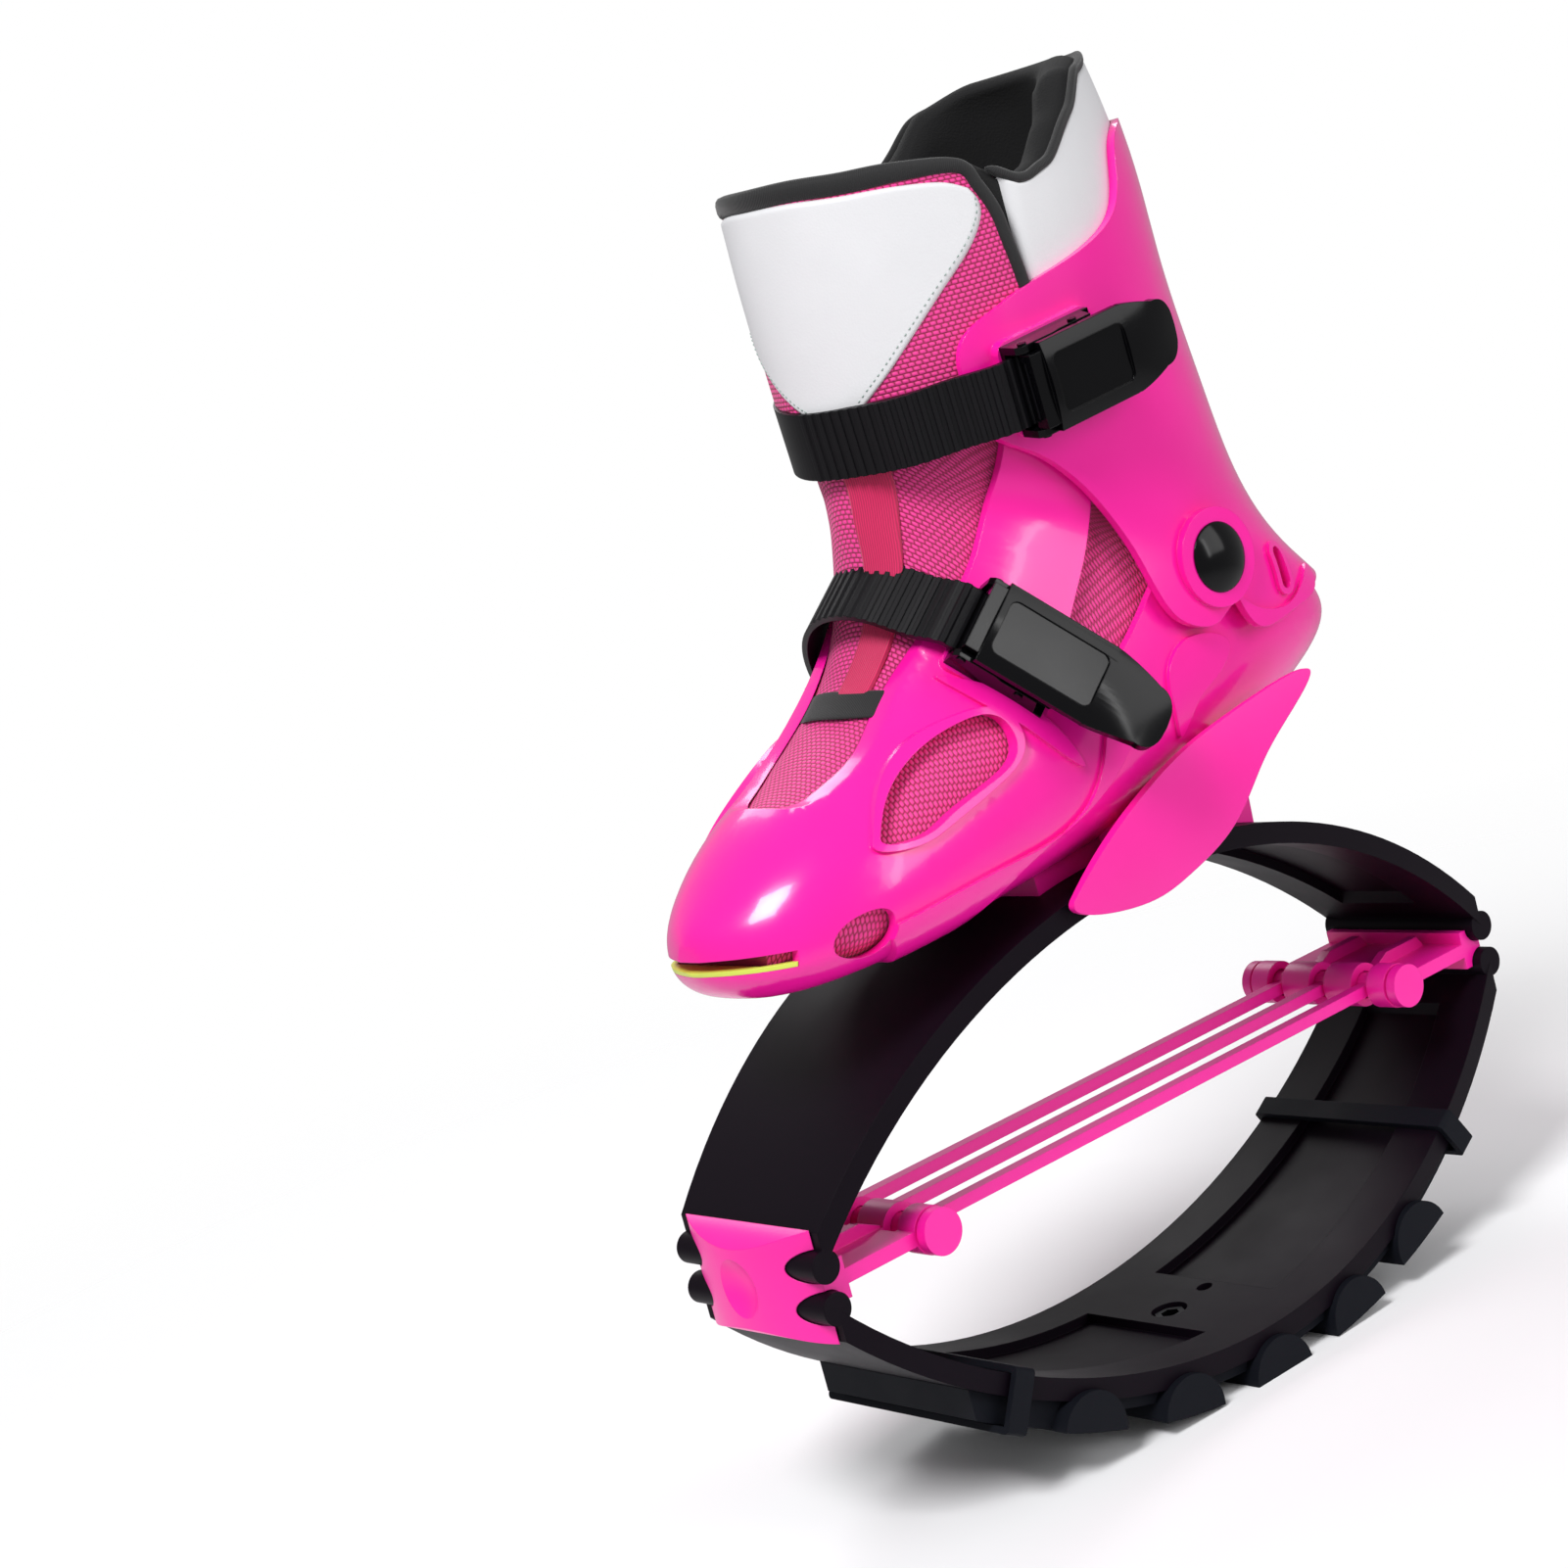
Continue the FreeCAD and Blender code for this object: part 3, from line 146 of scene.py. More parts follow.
# Lights: name, place, size in metres, power in watts
LIGHT_AIM = (0.0, 0.0, 0.22)
LIGHTS = [
    ("key", (-1.3, -0.6, 1.9), (0.7, 0.7), 42.0),
    ("fill", (0.9, -1.7, 0.9), (1.2, 1.2), 13.0),
    ("back", (0.7, 1.4, 1.6), (1.0, 1.0), 12.0),
    ("strip", (0.35, -1.4, 0.6), (0.08, 0.7), 1.2),
]
WORLD_LIGHT = 0.38
FLOOR_RADIUS = 6.0
FADE_START = 0.24
FADE_END = 0.85


# Shapes


def link(name, mesh):
    piece = bpy.data.objects.new(name, mesh)
    bpy.context.scene.collection.objects.link(piece)
    return piece


def blended(table, place):
    """Smooth value between the rows of a table."""
    place = max(0.0, min(len(table) - 1 - LAST_ROW_GAP, place))
    row = int(place)
    share = place - row
    before = table[max(0, row - 1)]
    here = table[row]
    after = table[row + 1]
    beyond = table[min(len(table) - 1, row + 2)]
    values = []
    for a, b, c, d in zip(before, here, after, beyond):
        bend = (-a + c) * share
        bend += (2 * a - 5 * b + 4 * c - d) * share ** 2
        bend += (-a + 3 * b - 3 * c + d) * share ** 3
        values.append(b + bend / 2)
    return values


def eased(low, high, value):
    share = max(0.0, min(1.0, (value - low) / (high - low)))
    return share * share * (3 - 2 * share)


def signed_power(value, power):
    return math.copysign(abs(value) ** power, value)


def skin_point(place, turn, offset):
    """Point of the boot's skin in mm: place counts sections, turn is 180 degrees in front and 270 outside."""
    front_x, front_z, back_x, back_z, half_width, roundness, shift = blended(SECTIONS, place)
    along = Vector((back_x - front_x, 0, back_z - front_z))
    length = along.length + 2 * offset
    along.normalize()
    share = min(1.0, max(0.0, (place - LAST_FOOT_SECTION) / LAST_FOOT_SECTION))
    waist = length * (TOE_SHARE + (LEG_SHARE - TOE_SHARE) * share)
    angle = math.radians(turn)
    reach = math.cos(angle)
    power = 1.0 if reach < 0 else 2.0 / roundness
    depth = waist if reach < 0 else length - waist
    centre = Vector((front_x, shift, front_z)) + along * (waist - offset)
    sideways = (half_width + offset) * signed_power(math.sin(angle), power)
    return centre + along * (depth * signed_power(reach, power)) + Vector((0, sideways, 0))


def halved(low, high, is_below, rounds=24):
    """Value at which a test stops being true, found by halving the range."""
    for _ in range(rounds):
        middle = (low + high) / 2
        if is_below(middle):
            low = middle
        else:
            high = middle
    return low


def skin_at(turn, height, offset):
    """Point of the skin at a height in mm."""
    place = halved(LOWEST_PLACE, HIGHEST_PLACE, lambda tried: skin_point(tried, turn, offset).z < height)
    return skin_point(place, turn, offset)


def curve_value(points, x):
    """Height of a side outline at x."""
    if x <= points[0][0]:
        return points[0][1]
    for (x0, z0), (x1, z1) in zip(points, points[1:]):
        if x0 <= x <= x1:
            share = (x - x0) / (x1 - x0)
            return z0 + (z1 - z0) * (RIM_SOFTNESS * eased(0, 1, share) + (1 - RIM_SOFTNESS) * share)
    return points[-1][1]


def rim_height(turn):
    """Height of the collar's rim at a turn."""
    turn = turn % FULL_TURN

    def is_below(tried):
        return tried < curve_value(COLLAR_RIM, skin_at(turn, tried, 0.0).x)

    return halved(RIM_LOW, RIM_HIGH, is_below, rounds=RIM_ROUNDS)


def along_line(points, share):
    """Place on a smooth line through the points, by its share of the length."""
    lengths = [math.dist(a, b) for a, b in zip(points, points[1:])]
    target = share * sum(lengths)
    for index, length in enumerate(lengths):
        if target <= length or index == len(lengths) - 1:
            return blended(points, index + target / length)
        target -= length


def grid_mesh(bm, columns, rows, place):
    """Grid put in place by a function of column share and row share, its patterns measured in metres."""
    spots = [[place(column / columns, row / rows) for row in range(rows + 1)]
             for column in range(columns + 1)]
    middle = columns // 2
    across = [[0.0] * (rows + 1) for column in range(columns + 1)]
    up = [[0.0] * (rows + 1) for column in range(columns + 1)]
    for row in range(rows + 1):
        for column in range(middle + 1, columns + 1):
            step = (spots[column][row] - spots[column - 1][row]).length
            across[column][row] = across[column - 1][row] + step
        for column in range(middle - 1, -1, -1):
            step = (spots[column][row] - spots[column + 1][row]).length
            across[column][row] = across[column + 1][row] - step
    for column in range(columns + 1):
        for row in range(1, rows + 1):
            up[column][row] = up[column][row - 1] + (spots[column][row] - spots[column][row - 1]).length
    bmesh.ops.create_grid(bm, x_segments=columns, y_segments=rows, size=0.5)
    layer = bm.loops.layers.uv.verify()
    where = {}
    for vert in bm.verts:
        column = round((vert.co.x + 0.5) * columns)
        row = round((vert.co.y + 0.5) * rows)
        where[vert] = (column, row)
        vert.co = spots[column][row] * MM
    for face in bm.faces:
        face.smooth = True
        for loop in face.loops:
            column, row = where[loop.vert]
            loop[layer].uv = (across[column][row] * MM, up[column][row] * MM)
    return {face: min(where[vert][1] for vert in face.verts) for face in bm.faces}


def finished(name, bm, finish, weld=WELD):
    bmesh.ops.remove_doubles(bm, verts=bm.verts, dist=weld)
    mesh = bpy.data.meshes.new(name)
    bm.to_mesh(mesh)
    bm.free()
    piece = link(name, mesh)
    mesh.materials.append(finish)
    return piece


EDGE_SHARE = 0.03
LEAST_SIDE = 0.01


def clustered(share, count):
    """Row share with extra rows close to both borders."""
    step = share * count
    if step <= 2:
        return EDGE_SHARE * step / 2
    if step >= count - 2:
        return 1 - EDGE_SHARE * (count - step) / 2
    return EDGE_SHARE + (1 - 2 * EDGE_SHARE) * (step - 2) / (count - 4)


def panel(name, top, bottom, left, right, base, thickness, finish, columns, rows, edge, depth):
    """Sewn panel on the skin between four border lines in turn and height, soft at its borders."""
    bm = bmesh.new()

    def place(across, up):
        s = clustered(across, columns)
        t = clustered(up, rows)
        a, b = along_line(left, t), along_line(right, t)
        c, d = along_line(bottom, s), along_line(top, s)
        corners = [bottom[0], bottom[-1], top[0], top[-1]]
        flat = [
            (1 - s) * a[i] + s * b[i] + (1 - t) * c[i] + t * d[i]
            - ((1 - s) * (1 - t) * corners[0][i] + s * (1 - t) * corners[1][i]
               + (1 - s) * t * corners[2][i] + s * t * corners[3][i])
            for i in (0, 1)
        ]
        wide = abs(b[0] - a[0]) + LEAST_SIDE
        tall = abs(d[1] - c[1]) + LEAST_SIDE
        inside = min(s * wide, (1 - s) * wide, t * tall, (1 - t) * tall)
        lift = math.sqrt(max(0.0, 1 - (1 - min(1.0, inside / edge)) ** 2))
        offset = base(flat[0], flat[1]) + thickness * lift
        return skin_at(flat[0], flat[1], offset)

    grid_mesh(bm, columns, rows, place)
    bmesh.ops.recalc_face_normals(bm, faces=bm.faces)
    centre = Vector(COLLAR_CENTRE)
    face = next(iter(bm.faces))
    if face.normal.dot(face.calc_center_median() - centre) < 0:
        bmesh.ops.reverse_faces(bm, faces=bm.faces)
    piece = finished(name, bm, finish)
    solid = piece.modifiers.new("thickness", "SOLIDIFY")
    solid.thickness = depth * MM
    solid.offset = -1.0
    return piece


TAPE_SIDES = 14
TAPE_SQUARENESS = 0.75
TAPE_END_STEPS = 3
TAPE_END_SHARE = 0.15


def welt(name, path, half_height, half_thickness, offset, finish, steps):
    """Rolled tape on the skin along a line of turns and heights; half_height is a function of the share."""
    bm = bmesh.new()
    places = []
    for step in range(steps + 1):
        share = step / steps
        turn, height = along_line(path, share)
        out = offset(turn, height)
        places.append((skin_at(turn, height, out), skin_at(turn, height, out + 1.0)))

    def place(across, up):
        step = round(across * steps)
        point, outer = places[step]
        ahead = places[min(steps, step + 1)][0] - places[max(0, step - 1)][0]
        ahead.normalize()
        normal = (outer - point).normalized()
        side = ahead.cross(normal).normalized()
        normal = side.cross(ahead).normalized()
        share = step / steps
        end = min(1.0, min(share, 1 - share) * steps / TAPE_END_STEPS + TAPE_END_SHARE)
        angle = 2 * math.pi * up
        shift = side * (signed_power(math.cos(angle), TAPE_SQUARENESS) * half_height(share) * end)
        shift += normal * (signed_power(math.sin(angle), TAPE_SQUARENESS) * half_thickness * end)
        return point + shift

    grid_mesh(bm, steps, TAPE_SIDES, place)
    bmesh.ops.remove_doubles(bm, verts=bm.verts, dist=WELD)
    bmesh.ops.holes_fill(bm, edges=bm.edges, sides=0)
    bmesh.ops.recalc_face_normals(bm, faces=bm.faces)
    return finished(name, bm, finish)


def smooth_copy(node_name, finish, crease=NODE_CREASE):
    """Merged copy of a moulded node with soft shading and crisp edges."""
    source = frame["nodes"][node_name]
    bm = bmesh.new()
    bm.from_mesh(source.data)
    bmesh.ops.remove_doubles(bm, verts=bm.verts, dist=NODE_WELD)
    bmesh.ops.dissolve_degenerate(bm, dist=NODE_SLIVER, edges=bm.edges)
    limit = math.radians(crease)
    for face in bm.faces:
        face.smooth = True
    for edge in bm.edges:
        edge.smooth = edge.is_manifold and edge.calc_face_angle(0.0) < limit
    mesh = bpy.data.meshes.new(node_name + "_dressed")
    bm.to_mesh(mesh)
    bm.free()
    if "custom_normal" in mesh.attributes:
        mesh.attributes.remove(mesh.attributes["custom_normal"])
    mesh.materials.clear()
    mesh.materials.append(finish)
    piece = link(node_name + "_dressed", mesh)
    even = piece.modifiers.new("even shading", "WEIGHTED_NORMAL")
    even.keep_sharp = True
    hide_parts(node_name)
    return piece


def dress(names, finish, crease=NODE_CREASE):
    """Smooth copies of several nodes, each riding where its node rides."""
    pieces = []
    for name in names:
        piece = smooth_copy(name, finish, crease)
        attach(piece, frame["nodes"][name]["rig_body"])
        pieces.append(piece)
    return pieces


# Place of the catch's pin from the lever's pin and the shape of a lever's tail, in mm
CATCH_REACH = 22.0
CATCH_DROP = 1.1
TAIL_DROOP = 4.0
TAIL_END_SHARE = 0.74
TAIL_END_LENGTH = 8.0
TAIL_ROUNDNESS = 2.4
TAIL_TAPER = 1.3
LEVER_HALF_WIDTH = 15.0
TAIL_ROWS = 30
TAIL_TIP_GAP = 0.3
SAME_ROW = 0.05
LEAST_WIDTH = 0.5

# Start of the tail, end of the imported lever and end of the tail, in mm from the pin
LOWER_TAIL = (44.0, 75.0, 70.0)
UPPER_TAIL = (36.5, 61.0, 58.0)


def tail_half_width(along, start, end):
    """Half width of a lever's blunt tail at a distance from its pin."""
    if along < end - TAIL_END_LENGTH:
        share = (along - start) / (end - TAIL_END_LENGTH - start)
        return LEVER_HALF_WIDTH * (1 - (1 - TAIL_END_SHARE) * max(0.0, share) ** TAIL_TAPER)
    share = min(1.0, (along - end + TAIL_END_LENGTH) / TAIL_END_LENGTH)
    return LEVER_HALF_WIDTH * TAIL_END_SHARE * (1 - share ** TAIL_ROUNDNESS) ** (1 / TAIL_ROUNDNESS)


def blunt_tail(piece, name, start, old_end, new_end):
    """Give a lever the blunt tail that bends down to the boot; distances in mm from its pin."""
    joints = {joint["name"]: joint for joint in frame["joints"]}
    pin = Vector(joints[f"lever_{name}_lift"]["pos_m"])
    across = Vector(joints[f"lever_{name}_lift"]["axis"]).normalized()
    reach = (Vector(joints[f"pawl_{name}_press"]["pos_m"]) - pin).normalized()
    out = reach.cross(across)
    if out.y > 0:
        out.negate()
    drop = math.atan2(CATCH_DROP, CATCH_REACH)
    along, out = reach * math.cos(drop) + out * math.sin(drop), out * math.cos(drop) - reach * math.sin(drop)
    bm = bmesh.new()
    bm.from_mesh(piece.data)
    stations = [start + (old_end - TAIL_TIP_GAP - start) * row / TAIL_ROWS for row in range(TAIL_ROWS + 1)]
    for station in stations:
        bmesh.ops.bisect_plane(bm, geom=bm.verts[:] + bm.edges[:] + bm.faces[:], dist=CUT_WELD,
                               plane_co=pin + along * (station * MM), plane_no=along)
    places = {}
    for vert in bm.verts:
        offset = (vert.co - pin) / MM
        places[vert] = (offset.dot(along), offset.dot(across), offset.dot(out))
    widths = [max([abs(v) for u, v, w in places.values() if abs(u - station) < SAME_ROW] + [LEAST_WIDTH])
              for station in stations]
    for vert, (u, v, w) in places.items():
        if u <= start:
            continue
        row = min(TAIL_ROWS - LAST_ROW_GAP, (u - start) / (stations[1] - start))
        width = widths[int(row)] + (widths[int(row) + 1] - widths[int(row)]) * (row - int(row))
        moved = start + (u - start) * (new_end - start) / (old_end - start)
        share = (moved - start) / (new_end - start)
        across_now = v * tail_half_width(moved, start, new_end) / max(width, LEAST_WIDTH)
        vert.co = pin + (along * moved + across * across_now + out * (w - TAIL_DROOP * share * share)) * MM
    for edge in bm.edges:
        edge.smooth = edge.is_manifold and edge.calc_face_angle(0.0) < math.radians(BUCKLE_CREASE)
    bm.to_mesh(piece.data)
    bm.free()


# Finishes


def linear(hex_colour):
    """sRGB hex value as linear red, green, blue and alpha."""
    text = hex_colour.lstrip("#")
    parts = [int(text[start:start + 2], 16) / 255 for start in (0, 2, 4)]
    return tuple(v / 12.92 if v <= 0.04045 else ((v + 0.055) / 1.055) ** 2.4 for v in parts) + (1.0,)


def add_node(tree, kind, inputs=None, **settings):
    """Add a node, set its options, and fill or connect its sockets."""
    node = tree.nodes.new(kind)
    for name, value in settings.items():
        setattr(node, name, value)
    for socket, value in (inputs or {}).items():
        if isinstance(value, bpy.types.NodeSocket):
            tree.links.new(value, node.inputs[socket])
        else:
            node.inputs[socket].default_value = value
    return node


def new_finish(name):
    """Empty material with its shader, and whether it was there already."""
    if name in bpy.data.materials:
        return bpy.data.materials[name], None, None
    finish = bpy.data.materials.new(name)
    finish.use_nodes = True
    shader = finish.node_tree.nodes["Principled BSDF"]
    return finish, finish.node_tree, shader


def shade(colour, factor):
    return tuple(min(1.0, c * factor) for c in colour[:3]) + (1.0,)


# Pattern sizes in mm and spreads around a finish's own values
CLOUD_SIZE = 26
CLOUD_TINT = 0.05
CLOUD_SPREAD = (0.85, 1.2)
MARK_SPREAD = (0.7, 1.4)
ROUND_EDGE = 0.5
COAT_ROUGHNESS = 0.05
TOOL_MARK = 0.8
MESH_FUZZ = 0.6
FOLD_SIZE = 18


def moulded(name, colour, roughness, grain, relief, coat=0.0, specular=0.5):
    """Injection-moulded plastic or rubber: faint cloudiness, mould grain in mm and softened edges."""
    finish, tree, shader = new_finish(name)
    if tree is None:
        return finish
    coords = add_node(tree, "ShaderNodeTexCoord").outputs["Object"]
    clouds = add_node(tree, "ShaderNodeTexNoise", {
        "Vector": coords, "Scale": PER_METRE / CLOUD_SIZE, "Detail": 3.0})
    tint = add_node(tree, "ShaderNodeMix", {
        "Factor": clouds.outputs["Fac"], "A": shade(colour, 1 - CLOUD_TINT),
        "B": shade(colour, 1 + CLOUD_TINT)}, data_type="RGBA")
    tree.links.new(tint.outputs["Result"], shader.inputs["Base Color"])
    spread = add_node(tree, "ShaderNodeMapRange", {
        "Value": clouds.outputs["Fac"], "To Min": roughness * CLOUD_SPREAD[0],
        "To Max": roughness * CLOUD_SPREAD[1]})
    tree.links.new(spread.outputs["Result"], shader.inputs["Roughness"])
    speckle = add_node(tree, "ShaderNodeTexNoise", {
        "Vector": coords, "Scale": PER_METRE / grain, "Detail": 2.0})
    edges = add_node(tree, "ShaderNodeBevel", {"Radius": ROUND_EDGE * MM}, samples=4)
    bump = add_node(tree, "ShaderNodeBump", {
        "Height": speckle.outputs["Fac"], "Distance": relief * MM, "Normal": edges.outputs["Normal"]})
    tree.links.new(bump.outputs["Normal"], shader.inputs["Normal"])
    shader.inputs["Coat Weight"].default_value = coat
    shader.inputs["Coat Roughness"].default_value = COAT_ROUGHNESS
    shader.inputs["Specular IOR Level"].default_value = specular
    return finish


def metal(name, colour, roughness):
    """Turned and blackened steel: fine tool marks under a dark skin."""
    finish, tree, shader = new_finish(name)
    if tree is None:
        return finish
    coords = add_node(tree, "ShaderNodeTexCoord").outputs["Object"]
    marks = add_node(tree, "ShaderNodeTexNoise", {
        "Vector": coords, "Scale": PER_METRE / TOOL_MARK, "Detail": 4.0})
    spread = add_node(tree, "ShaderNodeMapRange", {
        "Value": marks.outputs["Fac"], "To Min": roughness * MARK_SPREAD[0],
        "To Max": roughness * MARK_SPREAD[1]})
    tree.links.new(spread.outputs["Result"], shader.inputs["Roughness"])
    shader.inputs["Base Color"].default_value = colour
    shader.inputs["Metallic"].default_value = 1.0
    return finish


def woven(name, thread, gap_shade, length, width, relief, roughness):
    """Basket-woven mesh cloth: short floats in brick order, with painted shade making the gaps between them
    darker.
    """
    finish, tree, shader = new_finish(name)
    if tree is None:
        return finish
    coords = add_node(tree, "ShaderNodeTexCoord").outputs["UV"]
    sized = add_node(tree, "ShaderNodeVectorMath", {
        0: coords, 1: (PER_METRE / length, PER_METRE / width, 1.0)}, operation="MULTIPLY")
    parts = add_node(tree, "ShaderNodeSeparateXYZ", {0: sized.outputs[0]})
    row = add_node(tree, "ShaderNodeMath", {0: parts.outputs["Y"]}, operation="FLOOR")
    along = add_node(tree, "ShaderNodeMath", {0: row.outputs[0], 1: 0.5, 2: parts.outputs["X"]},
                     operation="MULTIPLY_ADD")
    waves = []
    for place in (along.outputs[0], parts.outputs["Y"]):
        turn = add_node(tree, "ShaderNodeMath", {0: place, 1: math.pi}, operation="MULTIPLY")
        wave = add_node(tree, "ShaderNodeMath", {0: turn.outputs[0]}, operation="SINE")
        waves.append(add_node(tree, "ShaderNodeMath", {0: wave.outputs[0]}, operation="ABSOLUTE").outputs[0])
    product = add_node(tree, "ShaderNodeMath", {0: waves[0], 1: waves[1]}, operation="MULTIPLY")
    float_height = add_node(tree, "ShaderNodeMath", {0: product.outputs[0], 1: 0.6}, operation="POWER")
    fuzz = add_node(tree, "ShaderNodeTexNoise", {
        "Vector": coords, "Scale": PER_METRE / MESH_FUZZ, "Detail": 3.0})
    height = add_node(tree, "ShaderNodeMath", {0: fuzz.outputs["Fac"], 1: 0.3, 2: float_height.outputs[0]},
                      operation="MULTIPLY_ADD")
    # painted shade: the colour runs from the dark gap colour up to the thread colour as the weave's height
    # rises
    tint = add_node(tree, "ShaderNodeMapRange", {
        "Value": height.outputs[0], "From Min": 0.35, "From Max": 0.95})
    float_and_gap_shade = add_node(tree, "ShaderNodeMix", {"Factor": tint.outputs["Result"], "A": gap_shade, "B": thread},
                   data_type="RGBA")
    tree.links.new(float_and_gap_shade.outputs["Result"], shader.inputs["Base Color"])
    bump = add_node(tree, "ShaderNodeBump", {"Height": height.outputs[0], "Distance": relief * MM})
    tree.links.new(bump.outputs["Normal"], shader.inputs["Normal"])
    shader.inputs["Roughness"].default_value = roughness
    shader.inputs["Sheen Weight"].default_value = 0.15
    return finish


def grained(name, colour, grain, relief, roughness, sheen=0.0, blotch=0.03):
    """Coated or knitted sheet: small pebbles or loops in mm, faint blotches."""
    finish, tree, shader = new_finish(name)
    if tree is None:
        return finish
    coords = add_node(tree, "ShaderNodeTexCoord").outputs["Object"]
    pebbles = add_node(tree, "ShaderNodeTexVoronoi", {"Vector": coords, "Scale": PER_METRE / grain})
    folds = add_node(tree, "ShaderNodeTexNoise", {
        "Vector": coords, "Scale": PER_METRE / FOLD_SIZE, "Detail": 4.0})
    tint = add_node(tree, "ShaderNodeMix", {
        "Factor": folds.outputs["Fac"], "A": shade(colour, 1 - blotch), "B": shade(colour, 1 + blotch)},
        data_type="RGBA")
    tree.links.new(tint.outputs["Result"], shader.inputs["Base Color"])
    height = add_node(tree, "ShaderNodeMath", {
        0: folds.outputs["Fac"], 1: 2.0, 2: pebbles.outputs["Distance"]}, operation="MULTIPLY_ADD")
    bump = add_node(tree, "ShaderNodeBump", {"Height": height.outputs[0], "Distance": relief * MM})
    tree.links.new(bump.outputs["Normal"], shader.inputs["Normal"])
    shader.inputs["Roughness"].default_value = roughness
    shader.inputs["Sheen Weight"].default_value = sheen
    return finish


def ribbed(name, colour, pitch, relief, roughness):
    """Woven tape: fine ribs across its length, with painted shade in the grooves and a painted highlight on
    the crests.
    """
    finish, tree, shader = new_finish(name)
    if tree is None:
        return finish
    coords = add_node(tree, "ShaderNodeTexCoord").outputs["UV"]
    ribs = add_node(tree, "ShaderNodeTexWave", {
        "Vector": coords, "Scale": PER_METRE / pitch / (2 * math.pi) * 2, "Distortion": 1.2, "Detail": 2.0})
    # painted shade and painted highlight: the colour follows the rib height, 0.7 in the grooves to 1.15 on
    # the crests
    tint = add_node(tree, "ShaderNodeMix", {
        "Factor": ribs.outputs["Fac"], "A": shade(colour, 0.7), "B": shade(colour, 1.15)}, data_type="RGBA")
    tree.links.new(tint.outputs["Result"], shader.inputs["Base Color"])
    bump = add_node(tree, "ShaderNodeBump", {"Height": ribs.outputs["Fac"], "Distance": relief * MM})
    tree.links.new(bump.outputs["Normal"], shader.inputs["Normal"])
    shader.inputs["Roughness"].default_value = roughness
    shader.inputs["Sheen Weight"].default_value = 0.2
    return finish


def colour_of(name):
    return tuple(getattr(bpy.context.scene.boot_colours, name)) + (1.0,)


def glossy_shell():
    # Thermoplastic polyurethane from a polished mould: saturated pink under a wet-looking skin
    return moulded("Polished polyurethane, hot pink", colour_of("shell"), 0.2, 1.2, 0.006, coat=0.25,
                   specular=0.4)


def satin_pink():
    # Glass-filled nylon from a spark-eroded mould: the same pink with a duller skin
    return moulded("Satin moulded nylon, pink", colour_of("shell"), 0.36, 0.5, 0.012)


def spring_black():
    # Glass-filled nylon leaf springs: black with a violet cast and a fine even grain
    return moulded("Glass-filled nylon, black", colour_of("spring"), 0.46, 0.45, 0.02, specular=0.08)


def sole_rubber():
    # Vulcanised rubber: charcoal, dry looking
    return moulded("Vulcanised rubber, black", linear("#0E1017"), 0.62, 0.6, 0.03, specular=0.1)


def buckle_black():
    # Polished acetal: near-black with small sharp reflections
    return moulded("Polished acetal, black", linear("#050507"), 0.15, 2.0, 0.004, specular=0.2)


def strap_black():
    # Moulded polyurethane ladder strap: black, half gloss
    return moulded("Moulded polyurethane strap, black", linear("#0B0A0E"), 0.42, 0.4, 0.012, specular=0.22)


def lip_yellow():
    return moulded("Moulded silicone, lime yellow", colour_of("lip"), 0.3, 1.0, 0.006)


def plated_steel():
    return metal("Blackened steel", linear("#1C1C1F"), 0.4)


def mesh_cloth():
    # Coarse polyester basket mesh with floats 2.4 mm long; the darker second colour is painted shade in the
    # gaps
    return woven("Woven polyester mesh, pink", linear("#F63A9A"), linear("#A00D4A"), 2.4, 1.6, 0.4, 0.6)


def lining_knit():
    # Brushed polyester over foam: soft dull black
    return grained("Brushed knit lining, black", linear("#050507"), 0.7, 0.12, 0.9, blotch=0.1)


def white_leather():
    # Polyurethane-coated leather: off-white, fine pebbles, half matt
    return grained("Coated synthetic leather, white", colour_of("panel"), 0.8, 0.03, 0.46)


def tape_black():
    return ribbed("Woven binding tape, black", linear("#0A0A0D"), 0.7, 0.08, 0.75)


def ribbon_pink():
    return ribbed("Grosgrain ribbon, magenta", linear("#CE0D58"), 0.8, 0.12, 0.6)


def thread_grey():
    return grained("Bonded sewing thread, grey-green", linear("#8FA39B"), 0.3, 0.05, 0.6)


def foam_black():
    return grained("Moulded foam footbed, charcoal", linear("#1E1F24"), 1.2, 0.15, 0.9, sheen=0.2)


# Values that a user would change


class BootSizes(bpy.types.PropertyGroup):
    binding_height: bpy.props.FloatProperty(
        name="Binding height", description="Height of the black tape along the flap's top, in millimetres",
        default=7.4, min=3.0, max=12.0)
    stitch_pitch: bpy.props.FloatProperty(
        name="Stitch pitch", description="Distance from stitch to stitch on the shield panel, in millimetres",
        default=2.0, min=1.0, max=6.0)
    collar_puff: bpy.props.FloatProperty(
        name="Collar puff", description="How far the collar's padding stands proud, in millimetres",
        default=1.0, min=0.0, max=3.0)


class BootColours(bpy.types.PropertyGroup):
    shell: bpy.props.FloatVectorProperty(
        name="Shell", description="Colour of the shell, cuff, wings and connectors",
        subtype="COLOR", default=linear("#FF17A2")[:3], min=0.0, max=1.0)
    spring: bpy.props.FloatVectorProperty(
        name="Springs", description="Colour of the two leaf-spring arcs",
        subtype="COLOR", default=linear("#0E0710")[:3], min=0.0, max=1.0)
    panel: bpy.props.FloatVectorProperty(
        name="Panels", description="Colour of the white collar panels",
        subtype="COLOR", default=linear("#DEDEE1")[:3], min=0.0, max=1.0)
    lip: bpy.props.FloatVectorProperty(
        name="Toe lip", description="Colour of the lip in the toe slot",
        subtype="COLOR", default=linear("#DDE95A")[:3], min=0.0, max=1.0)


# Pieces


